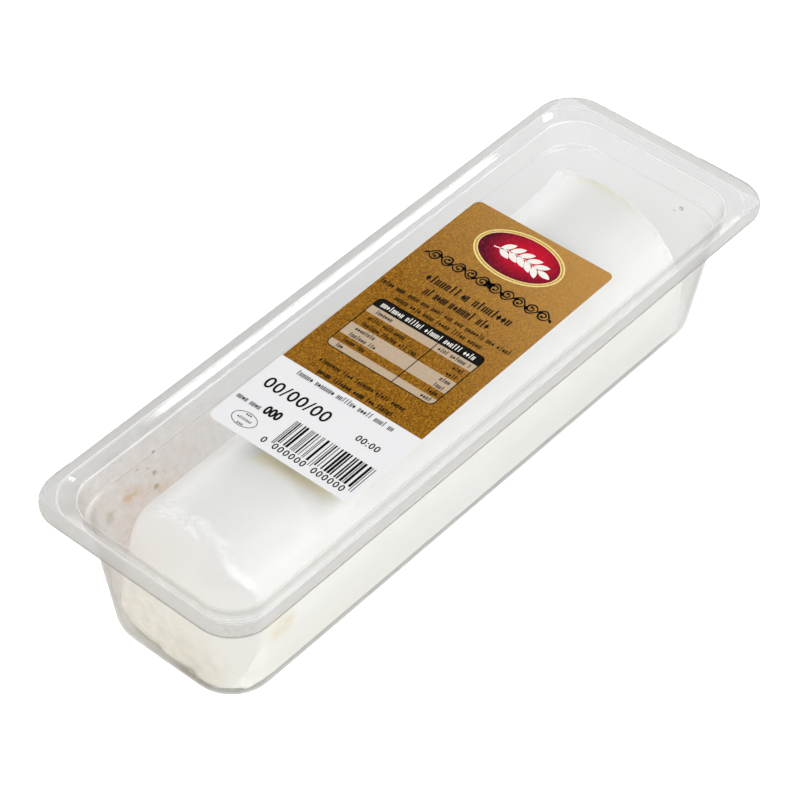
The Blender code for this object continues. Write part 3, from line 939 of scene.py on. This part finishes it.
def inkShader(material, colour, height, depth, settings):
    # Coated paper or ink a few microns thick: the fibres and grains under it show as a faint relief
    bump = addNode(material, "Bump", {"Strength": 1.0, "Distance": depth * mm}, {"Height": height})
    shader = addNode(material, "BsdfPrincipled", {"Specular IOR Level": 0.05, **settings},
                     {"Base Color": colour, "Normal": bump.outputs[0]})
    addNode(material, "OutputMaterial", links={"Surface": shader.outputs[0]})
    return material


fibres = {"size": 0.3, "contrast": (0.35, 0.65), "relief": 0.003}


def plainInk(name, dark, light, roughness):
    # An even ink or a coated paper, mottled at the fibres' size
    material = newMaterial(name)
    place = addNode(material, "TexCoord").outputs["Object"]
    height, colour = speckled(material, place, fibres["size"], *fibres["contrast"], dark, light)
    return inkShader(material, colour, height, fibres["relief"], {"Roughness": roughness})


goldLook = {
    "dark": "#694000",
    "light": "#a57110",
    "flake": "#bf8e38",
    "grain": 0.33,
    "relief": 0.01,
    "bright": (0.86, 0.35),     # the shade from which flakes are bright, and how bright the last is
    # paintedGlare: a painted reflection, the gold paler towards the far corner
    "paintedGlare": {"colour": "#cfa05c", "direction": (0.8, -0.6, 0.0), "from": 0.0, "to": 62.0, "strength": 0.70},
}


def goldInk():
    # Bronze powder ink: flakes of about 0.1 mm, drawn coarser so that they show, each with its own shade,
    # a few of them bright, and a painted glare makes them paler to the far corner
    material = newMaterial("bronze powder ink, grainy")
    place = addNode(material, "TexCoord").outputs["Object"]
    flakes = addNode(material, "TexVoronoi", {"Scale": 1 / (goldLook["grain"] * mm)}, {"Vector": place})
    shade = addNode(material, "SeparateColor", links={"Color": flakes.outputs["Color"]}).outputs["Red"]
    colour = addNode(material, "Mix", {
        "data_type": "RGBA", 6: linear(goldLook["dark"]), 7: linear(goldLook["light"]),
    }, {0: shade}).outputs[2]
    # Painted reflection: a paler gold mixed in towards the far corner
    paintedGlare = goldLook["paintedGlare"]
    run = addNode(material, "VectorMath", {"operation": "DOT_PRODUCT", 1: paintedGlare["direction"]}, {0: place})
    paler = addNode(material, "MapRange", {"From Min": paintedGlare["from"] * mm, "From Max": paintedGlare["to"] * mm,
                                           "To Max": paintedGlare["strength"]}, {"Value": run.outputs["Value"]})
    colour = addNode(material, "Mix", {"data_type": "RGBA", 7: linear(paintedGlare["colour"])},
                     {0: paler.outputs[0], 6: colour}).outputs[2]
    start, brightest = goldLook["bright"]
    bright = addNode(material, "MapRange", {"From Min": start, "To Max": brightest}, {"Value": shade})
    colour = addNode(material, "Mix", {"data_type": "RGBA", 7: linear(goldLook["flake"])},
                     {0: bright.outputs[0], 6: colour}).outputs[2]
    return inkShader(material, colour, shade, goldLook["relief"],
                     {"Roughness": 0.5, "Metallic": 0.3, "Specular IOR Level": 0.06})


redLook = {
    "middle": "#b80326",
    "rim": "#44031b",
    "flake": "#dc3054",
    "centre": (43.5, -1.5),
    "reach": (9.5, 12.5),
    "fade": (0.25, 1.15),     # shares of the reach where the maroon starts and is whole
    "grains": (0.4, 0.55, 0.85),     # size, and the noise values where they start and are whole
    "relief": 0.004,
}


def redInk():
    # Red ink over bronze: crimson in the middle, maroon at both ends, with fine bright grains
    material = newMaterial("crimson ink over bronze, shaded")
    place = addNode(material, "TexCoord").outputs["Object"]
    middle = onLabel(np.array(redLook["centre"]), 0.0) * mm
    centred = addNode(material, "Mapping", {
        "vector_type": "TEXTURE", "Location": middle.tolist(),
        "Scale": (redLook["reach"][0] * mm, redLook["reach"][1] * mm, 1.0),
    }, {"Vector": place})
    distance = addNode(material, "VectorMath", {"operation": "LENGTH"}, {0: centred.outputs[0]})
    start, end = redLook["fade"]
    share = addNode(material, "MapRange", {
        "interpolation_type": "SMOOTHSTEP", "From Min": start, "From Max": end,
    }, {"Value": distance.outputs["Value"]})
    shade = addNode(material, "Mix", {
        "data_type": "RGBA", 6: linear(redLook["middle"]), 7: linear(redLook["rim"]),
    }, {0: share.outputs[0]})
    height, colour = speckled(material, place, *redLook["grains"], redLook["rim"], redLook["flake"],
                              shade.outputs[2])
    return inkShader(material, colour, height, redLook["relief"], {"Roughness": 0.4})


inks = {
    "paper": plainInk("coated label paper", "#dadadc", "#e1e1e2", 0.4),
    "gold": goldInk(),
    "black": plainInk("black ink", "#070504", "#0e0b08", 0.45),
    "grey": plainInk("thin black ink on white", "#1c1c1e", "#28282b", 0.45),
    "cream": plainInk("cream ink", "#ad987f", "#bba890", 0.5),
    "white": plainInk("white ink", "#dedad2", "#efece6", 0.5),
    "red": redInk(),
    "rule": plainInk("pale gold rule", "#d9c274", "#eddfae", 0.4),
    "ruleCore": plainInk("deep gold rule", "#b08a2c", "#c79f3c", 0.4),
}


def printShapes(name, kind, layer, parts):
    # Printed shapes go from inside the paper up to their own layer
    made = [make(*outlines, label["paperTop"] / 2, inkTop(layer)) for make, *outlines in parts]
    addPrint(name, made, inks[kind])


goldEdge = {"inset": 0.14, "corner": 2.0}


def makeLabelBase():
    halfLength, halfWidth = label["length"] / 2, label["width"] / 2
    sheet = roundedOutline(-halfLength, halfLength, -halfWidth, halfWidth, label["corner"])
    piece = addPrint("labelPaper", [slabSet(sheet[None], 0.0, label["paperTop"])], inks["paper"])
    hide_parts("label")
    inset = goldEdge["inset"]
    gold = roundedOutline(-halfLength, halfLength - inset, -halfWidth + inset, halfWidth - inset,
                          goldEdge["corner"])
    gold[gold[:, 0] < 0.0, 0] = label["goldFrom"]
    printShapes("goldField", "gold", 1, [(slabSet, gold[None])])


oval = {
    "centre": (42.0, 0.3),
    "half": (9.0, 13.6),
    "ring": 1.3,
    "core": (0.45, 0.9),
    "overlap": 0.05,     # how far the red reaches under the rule
    "stem": {"from": 8.2, "to": -6.6, "u": 41.4, "bow": 1.1, "width": 0.16, "tip": 0.2},
    "leaves": 5,
    "leafSpan": (0.12, 0.86),     # where the first and last pairs leave the stem
    "leaf": (4.6, 0.95),     # length and half width
    "leafTurn": 38.0,
}


def leafOutlines(foot, direction, length, halfWidth):
    # A leaf is a lens: a point at s along it lies w sin(pi s)^0.8 to each side
    share = np.linspace(0.0, 1.0, 13)
    side = halfWidth * np.sin(math.pi * share) ** 0.8
    along = np.concatenate((share, share[-2:0:-1])) * length
    across = np.concatenate((side, -side[-2:0:-1]))
    normal = np.stack((-direction[:, 1], direction[:, 0]), axis=-1)
    return foot[:, None] + along[None, :, None] * direction[:, None] + across[None, :, None] * normal[:, None]


def makeOval():
    # A red oval in a double gold rule, with a bowed sprig of leaves along it
    half, centre = np.array(oval["half"]), oval["centre"]
    outlines = [ovalOutline(centre, half - inset)[None] for inset in (0.0, *oval["core"], oval["ring"])]
    printShapes("ovalRule", "rule", 2, [(ringSet, outlines[0], outlines[3])])
    printShapes("ovalRuleCore", "ruleCore", 3, [(ringSet, outlines[1], outlines[2])])
    red = ovalOutline(centre, half - oval["ring"] + oval["overlap"])
    printShapes("ovalField", "red", 2, [(slabSet, red[None])])
    stem = oval["stem"]
    share = np.linspace(0.0, 1.0, 40)
    path = np.stack((stem["u"] + stem["bow"] * np.sin(math.pi * share),
                     stem["from"] + share * (stem["to"] - stem["from"])), axis=-1)
    at = np.linspace(*oval["leafSpan"], oval["leaves"])
    foot = np.stack((np.interp(at, share, path[:, 0]), np.interp(at, share, path[:, 1])), axis=-1)
    run = np.gradient(path, axis=0)
    ahead = np.arctan2(np.interp(at, share, run[:, 1]), np.interp(at, share, run[:, 0]))
    length, halfWidth = oval["leaf"]
    parts = [(penStroke, path, stem["width"] * (1.0 + stem["tip"] - share))]
    for side in (-1.0, 1.0):
        turn = ahead + side * math.radians(oval["leafTurn"])
        direction = np.stack((np.cos(turn), np.sin(turn)), axis=-1)
        parts.append((slabSet, leafOutlines(foot, direction, length, halfWidth)))
    tip = np.array((math.cos(ahead[-1]), math.sin(ahead[-1])))[None]
    parts.append((slabSet, leafOutlines(path[-1:] - stem["tip"] * tip, tip, length, halfWidth)))
    printShapes("sprig", "white", 3, parts)


# Lines of the print are rows of strokes: (baseline u, height, first v, last v, cell, stroke width)
strokeRows = {
    "black": (
        (19.9, 3.1, 14.2, 3.2, 1.50, 0.42), (19.9, 3.1, 2.3, 0.3, 1.30, 0.40),
        (19.9, 3.1, -1.4, -13.8, 1.60, 0.42),
        (15.3, 3.0, 11.0, 8.6, 1.35, 0.38), (15.3, 3.0, 7.7, 3.5, 1.10, 0.35),
        (15.3, 3.0, 2.6, -10.3, 1.25, 0.38),
        (11.7, 1.75, 22.3, 14.3, 0.88, 0.27), (11.7, 1.75, 13.0, -21.5, 0.86, 0.20),
        (8.7, 1.75, 15.1, -13.5, 0.86, 0.20),
        (-20.7, 1.7, 14.9, -14.0, 0.84, 0.20), (-24.1, 1.7, 12.4, -11.9, 0.84, 0.26),
    ),
    "grey": (
        (-27.9, 1.8, 16.1, -15.6, 0.88, 0.17), (-43.5, 1.8, 22.1, 14.4, 0.88, 0.17),
        (-46.7, 0.8, 15.9, 13.9, 0.60, 0.12), (-48.5, 0.8, 17.2, 12.6, 0.60, 0.14),
        (-50.2, 0.8, 15.9, 13.9, 0.60, 0.12),
    ),
    "white": ((4.5, 2.0, 16.0, -15.8, 0.92, 0.26),),
}
tableText = {
    "middles": (2.2, -0.7, -3.3, -5.8, -8.3, -10.8, -13.3),
    "leftEnds": (9.9, 2.6, -2.6, 9.0, 6.6, 8.1, 13.1),
    "rightStarts": (-5.4, -12.6, -12.6, -12.6, -12.6, -12.6, -12.6),
    "height": 1.5,
    "baseline": 0.36,     # below a line's middle, as a share of its height
    "left": 15.3,
    "right": -15.9,
    "cell": 0.80,
    "stroke": 0.20,
}
strokeShapes = {
    "tall": 0.28,     # share of the cells with a tall stroke
    "orPair": 0.72,     # and with that or two short ones
    "gaps": (4, 9),     # cells from one gap to the next, for rows of at least the second
    "short": 0.72,     # a short stroke's height over the row's
    "apart": 0.24,     # from the cell's middle, over its width
    "lozenge": 0.42,     # half width over the cell's
}


def lozengeOutlines(u, v, halfU, halfV):
    # Arrays of lozenges about their middles
    u, v = np.broadcast_arrays(u, v)
    corners = ((u - halfU, v), (u, v + halfV), (u + halfU, v), (u, v - halfV))
    return np.stack([np.stack(corner, axis=-1) for corner in corners], axis=1)


def strokeCells(rows, seed):
    # Each cell of a row holds a tall stroke, two short ones, a lozenge or a gap, so that nothing reads
    draw = np.random.default_rng(seed)
    shapes = strokeShapes
    boxes, lozenges = [], []
    for base, height, first, last, cell, weight in rows:
        count = max(int(round((first - last) / cell)), 1)
        middle = first - (first - last) / count * (np.arange(count) + 0.5)
        kind = draw.random(count)
        gaps = np.cumsum(draw.integers(*shapes["gaps"], count))
        inked = ~np.isin(np.arange(count), gaps) | (count < shapes["gaps"][1])
        low, spread = shapes["short"] * height, shapes["apart"] * cell
        tall = inked & (kind < shapes["tall"])
        pair = inked & (kind >= shapes["tall"]) & (kind < shapes["orPair"])
        lozenge = inked & (kind >= shapes["orPair"])
        for place, side, top in ((tall, 0.0, height), (pair, spread, low), (pair, -spread, low)):
            v = middle[place] + side
            boxes.append(boxOutlines(base, base + top, v - weight / 2, v + weight / 2))
        lozenges.append(lozengeOutlines(base + low / 2, middle[lozenge], low / 2, shapes["lozenge"] * cell))
    return [(slabSet, np.concatenate(boxes)), (slabSet, np.concatenate(lozenges))]


def makeRows():
    text = tableText
    lines = np.array(text["middles"]) - text["baseline"] * text["height"]
    small = [(u, text["height"], text["left"], end, text["cell"], text["stroke"])
             for u, end in zip(lines, text["leftEnds"])]
    small += [(u, text["height"], start, text["right"], text["cell"], text["stroke"])
              for u, start in zip(lines, text["rightStarts"])]
    printShapes("blackRows", "black", 4, strokeCells((*strokeRows["black"], *small), 31))
    printShapes("greyRows", "grey", 4, strokeCells(strokeRows["grey"], 32))
    printShapes("whiteRows", "white", 4, strokeCells(strokeRows["white"], 33))


table = {
    "box": (-14.7, 7.4, -17.3, 18.0),
    "corner": 1.8,
    "line": 0.26,
    "header": 3.7,
    "creamRows": ((0.93, 3.7), (-9.2, -4.43), (-14.7, -12.07)),
    "column": -4.2,
}


def makeTable():
    # A rounded box with a black head, pale rows and one column line
    u0, u1, v0, v1 = table["box"]
    outer = roundedOutline(u0, u1, v0, v1, table["corner"])
    line = table["line"]
    inner = roundedOutline(u0 + line, u1 - line, v0 + line, v1 - line, table["corner"] - line)
    rows = []
    for low, high in table["creamRows"]:
        row = inner.copy()
        row[:, 0] = np.clip(row[:, 0], low, high)
        rows.append((slabSet, row[None]))
    printShapes("creamRows", "cream", 2, rows)
    head = outer.copy()
    head[:, 0] = np.maximum(head[:, 0], table["header"])
    column = boxOutlines([u0 + line / 2], [table["header"] + line], [table["column"] - line / 2],
                         [table["column"] + line / 2])
    printShapes("tableLines", "black", 3, [(slabSet, head[None]), (ringSet, outer[None], inner[None]),
                                           (slabSet, column)])


vine = {
    "middle": (28.9, -0.25),
    "bays": 5,
    "bay": 3.95,
    "rise": 1.75,
    "stem": 0.22,     # half widths and sizes
    "curl": 0.27,
    "bead": 0.42,
    "leaf": (1.7, 0.42),
    "leafSlant": (0.62, 0.78),     # up and along
    "rosette": (1.7, 0.62),
    "spiral": {"size": 0.44, "closing": 0.74, "turns": 1.3, "middle": 0.53, "shift": 0.15},
}


def vineStem():
    # (along, up) of half the stem: a wave of height a sin(pi s / b) that starts at the middle
    along = np.linspace(0.0, vine["bays"] * vine["bay"], 140)
    return np.stack((along, vine["rise"] * np.sin(math.pi * along / vine["bay"])), axis=-1)


def vineCurl(bay, side):
    # A spiral that leaves the stem at a bay's end and rolls up under the arch: r = size b (1 - closing t)
    spiral = vine["spiral"]
    t = np.linspace(0.0, 1.0, 60)
    radius = spiral["size"] * vine["bay"] * (1.0 - spiral["closing"] * t)
    turn = -side * 2.0 * math.pi * spiral["turns"] * t
    along = (bay + spiral["middle"]) * vine["bay"] + radius * np.cos(turn)
    return np.stack((along, radius * np.sin(turn) - side * spiral["shift"]), axis=-1)


def makeVine():
    # A vine scroll in pen strokes, thick in the middle of a stroke, the same on both sides of a rosette
    middleU, middleV = vine["middle"]
    parts, leaves, beads = [], [], []
    length, halfWidth = vine["leaf"]
    for way in (1.0, -1.0):
        def place(points):
            return np.stack((middleU + points[:, 1], middleV + way * points[:, 0]), axis=-1)

        stem = vineStem()
        parts.append((penStroke, place(stem), np.full(len(stem), vine["stem"])))
        for bay in range(vine["bays"]):
            side = 1.0 if bay % 2 == 0 else -1.0
            curl = vineCurl(bay, side)
            share = np.linspace(0.0, 1.0, len(curl))
            width = vine["curl"] * (0.35 + 0.65 * np.sin(math.pi * share ** 0.7))
            parts.append((penStroke, place(curl), width))
            beads.append(ovalOutline(place(curl[-1:])[0], (vine["bead"], vine["bead"]), 16))
            foot = np.array((((bay + 1.0) * vine["bay"], 0.0),))
            direction = np.array(vine["leafSlant"])[None] * (-side, way)
            leaves.append(leafOutlines(place(foot), direction, length, halfWidth))
    petalLength, petalWidth = vine["rosette"]
    turn = np.radians(np.arange(45.0, 405.0, 90.0))
    petals = np.stack((np.cos(turn), np.sin(turn)), axis=-1)
    centres = np.array(((middleU, middleV),)).repeat(4, axis=0)
    leaves.append(leafOutlines(centres, petals, petalLength, petalWidth))
    parts += [(slabSet, np.concatenate(leaves)), (slabSet, np.array(beads))]
    printShapes("vineScroll", "black", 2, parts)


figures = {     # plain zeros: text, size, first v, baseline u, stretch along v, thickening, spacing
    "date": ("00/00/00", 5.6, 20.0, -36.3, 0.98, 0.05, 1.08),
    "code": ("00:00", 2.9, -10.2, -35.7, 1.0, 0.03, 1.16),
    "weight": ("000", 4.1, 13.4, -43.4, 0.80, 0.17, 1.02),
    "firstDigit": ("0", 2.9, 7.3, -51.1, 1.0, 0.03, 1.0),
    "leftDigits": ("000000", 2.9, 3.6, -51.1, 1.0, 0.03, 1.24),
    "rightDigits": ("000000", 2.9, -9.0, -51.1, 1.0, 0.03, 1.24),
}


def zeroFigures(name, text, size, first, base, stretch, thickening, spacing):
    # Blender's own font, filled and made a mesh, then laid on the label: u = base + y and
    # v = first - stretch x
    curve = bpy.data.curves.new(name, "FONT")
    curve.body = text
    curve.size = size
    curve.space_character = spacing
    curve.offset = thickening
    curve.extrude = (inkTop(2) - label["paperTop"] / 2) / 2
    curve.resolution_u = 4
    holder = bpy.data.objects.new(name, curve)
    bpy.context.scene.collection.objects.link(holder)
    bpy.context.view_layer.update()
    made = bpy.data.meshes.new_from_object(holder.evaluated_get(bpy.context.evaluated_depsgraph_get()))
    bpy.data.objects.remove(holder)
    place = np.empty(len(made.vertices) * 3)
    made.vertices.foreach_get("co", place)
    place = place.reshape(-1, 3)
    faces = [tuple(reversed(polygon.vertices)) for polygon in made.polygons]
    flat = np.stack((base + place[:, 1], first - place[:, 0] * stretch), axis=-1)
    return onLabel(flat, place[:, 2] + (inkTop(2) + label["paperTop"] / 2) / 2), faces


def makeFigures():
    addPrint("zeroFigures", [zeroFigures(name, *values) for name, values in figures.items()], inks["black"])


stripes = {
    "from": 4.6,
    "to": -21.3,
    "low": -48.6,
    "high": -40.1,
    "guardLow": -49.7,
    "guards": (0, 1, 14, 15, -2, -1),     # the longer stripes
    "bars": 30,
    "trim": 0.03,     # what each stripe loses on both sides
}


def makeStripes():
    # Stripes and gaps one to three units wide in a random order, with three longer pairs
    draw = np.random.default_rng(44)
    widths = draw.choice((1, 1, 1, 2, 2, 3), (stripes["bars"], 2)).astype(float)
    guards = list(stripes["guards"])
    widths[guards, 0] = 1.0
    ends = np.cumsum(widths.ravel()).reshape(-1, 2)
    total = ends[-1, 0]
    span = stripes["from"] - stripes["to"]
    start = stripes["from"] - (ends[:, 0] - widths[:, 0]) / total * span
    finish = stripes["from"] - ends[:, 0] / total * span
    low = np.full(stripes["bars"], stripes["low"])
    low[guards] = stripes["guardLow"]
    bars = boxOutlines(low, stripes["high"], finish + stripes["trim"], start - stripes["trim"])
    printShapes("stripes", "black", 2, [(slabSet, bars)])


stamp = {"centre": (-48.1, 14.9), "half": (2.5, 3.8), "line": 0.16}


def makeStamp():
    half = np.array(stamp["half"])
    outer, inner = (ovalOutline(stamp["centre"], half - inset)[None] for inset in (0.0, stamp["line"]))
    printShapes("ovalStamp", "grey", 2, [(ringSet, outer, inner)])


makeLabelBase()
makeOval()
makeTable()
makeRows()
makeVine()
makeFigures()
makeStripes()
makeStamp()
print("label made")


# Studio
camera = {
    "lens": 137.475,
    "sensor": 36.0,
    "azimuth": -48.948,
    "elevation": 45.0645,
    "roll": 0.2171,
    "distance": 760.92,
    "aim": (-18.327, -10.277, 44.5),
}


def makeCamera():
    azimuth, elevation, roll = (math.radians(camera[key]) for key in ("azimuth", "elevation", "roll"))
    back = np.array((math.sin(azimuth) * math.cos(elevation), -math.cos(azimuth) * math.cos(elevation),
                     math.sin(elevation)))
    right = np.cross((0.0, 0.0, 1.0), back)
    right /= np.linalg.norm(right)
    up = np.cross(back, right)
    turnedRight = math.cos(roll) * right + math.sin(roll) * up
    turnedUp = math.cos(roll) * up - math.sin(roll) * right
    data = bpy.data.cameras.new("camera")
    data.lens = camera["lens"]
    data.sensor_width = camera["sensor"]
    data.clip_start = 0.01
    data.clip_end = 20.0
    made = bpy.data.objects.new("camera", data)
    bpy.context.scene.collection.objects.link(made)
    place = (np.array(camera["aim"]) + back * camera["distance"]) * mm
    made.matrix_world = Matrix((
        (turnedRight[0], turnedUp[0], back[0], place[0]),
        (turnedRight[1], turnedUp[1], back[1], place[1]),
        (turnedRight[2], turnedUp[2], back[2], place[2]),
        (0.0, 0.0, 0.0, 1.0),
    ))
    bpy.context.scene.camera = made


softboxes = {     # azimuth and elevation from the pack in degrees, distance, width, height (mm) and radiance
    "key": (-3.2, 58.6, 1200.0, 170.0, 265.0, 10.0),
    "backRight": (45.0, 14.0, 1400.0, 1150.0, 640.0, 3.0),
    "back": (90.0, 14.0, 1400.0, 1150.0, 640.0, 1.6),
    "backLeft": (135.0, 14.0, 1400.0, 1150.0, 640.0, 2.0),
    "cameraSide": (225.0, 14.0, 1400.0, 1150.0, 640.0, 1.6),
    "frontLow": (270.0, 14.0, 1400.0, 1150.0, 640.0, 1.2),
    "farRight": (315.0, 14.0, 1400.0, 1150.0, 640.0, 1.5),
    "nearHigh": (180.0, 45.0, 1400.0, 850.0, 700.0, 2.4),
    "frontHigh": (270.0, 45.0, 1400.0, 850.0, 700.0, 3.8),
}


def addSoftbox(name, azimuth, elevation, distance, width, height, radiance):
    # A softbox that faces the pack; its power is 4 x area x radiance
    turn, rise = math.radians(azimuth), math.radians(elevation)
    towards = np.array((math.cos(turn) * math.cos(rise), math.sin(turn) * math.cos(rise), math.sin(rise)))
    side = np.cross((0.0, 0.0, 1.0), towards)
    side /= np.linalg.norm(side)
    up = np.cross(towards, side)
    data = bpy.data.lights.new(name, "AREA")
    data.shape = "RECTANGLE"
    data.size = width * mm
    data.size_y = height * mm
    data.energy = 4.0 * width * height * mm * mm * radiance
    made = bpy.data.objects.new(name, data)
    bpy.context.scene.collection.objects.link(made)
    place = towards * distance * mm
    made.matrix_world = Matrix((
        (side[0], up[0], towards[0], place[0]),
        (side[1], up[1], towards[1], place[1]),
        (side[2], up[2], towards[2], place[2]),
        (0.0, 0.0, 0.0, 1.0),
    ))


surroundings = {
    "floorHalf": 4000.0,
    "card": "#f2f2f2",
    "burnt": 0.5,     # light added to bare card
    "room": "#868686",     # the light of the studio
    "backdrop": "#fafafa",     # how the camera sees it
}


def makeFloor():
    half = surroundings["floorHalf"]
    grid = np.array((((-half, -half, 0.0), (half, -half, 0.0)), ((-half, half, 0.0), (half, half, 0.0))))
    mesh = gridMesh("floor", grid, wrapPoints=False)
    floor = bpy.data.objects.new("floor", mesh)
    bpy.context.scene.collection.objects.link(floor)
    # Bare card is burnt out nearly to white, and keeps its own grey behind the clear plastic
    material = newMaterial("white card")
    card = addNode(material, "BsdfPrincipled", {
        "Base Color": linear(surroundings["card"]), "Roughness": 0.9, "Specular IOR Level": 0.0,
    })
    burnt = addNode(material, "Emission", {"Color": linear("#ffffff"), "Strength": surroundings["burnt"]})
    both = addNode(material, "AddShader", links={0: card.outputs[0], 1: burnt.outputs[0]})
    path = addNode(material, "LightPath")
    bare = addNode(material, "Math", {"operation": "LESS_THAN", 1: 0.5},
                   {0: path.outputs["Transparent Depth"]})
    seen = addNode(material, "Math", {"operation": "MULTIPLY"},
                   {0: path.outputs["Is Camera Ray"], 1: bare.outputs[0]})
    shown = addNode(material, "MixShader", links={0: seen.outputs[0], 1: card.outputs[0], 2: both.outputs[0]})
    addNode(material, "OutputMaterial", links={"Surface": shown.outputs[0]})
    mesh.materials.append(material)


def makeWorld():
    # An even grey room lights the pack, and the camera sees it pale
    world = bpy.data.worlds.new("studio")
    bpy.context.scene.world = world
    world.use_nodes = True
    world.node_tree.nodes.clear()
    room = addNode(world, "Background", {"Color": linear(surroundings["room"])})
    pale = addNode(world, "Background", {"Color": linear(surroundings["backdrop"])})
    path = addNode(world, "LightPath")
    seen = addNode(world, "MixShader", links={0: path.outputs["Is Camera Ray"], 1: room.outputs[0],
                                              2: pale.outputs[0]})
    addNode(world, "OutputWorld", links={"Surface": seen.outputs[0]})


makeCamera()
makeFloor()
makeWorld()
for name, values in softboxes.items():
    addSoftbox(name, *values)
bpy.context.scene.view_settings.view_transform = "Standard"
bpy.context.scene.cycles.transparent_max_bounces = 24
print("studio made")
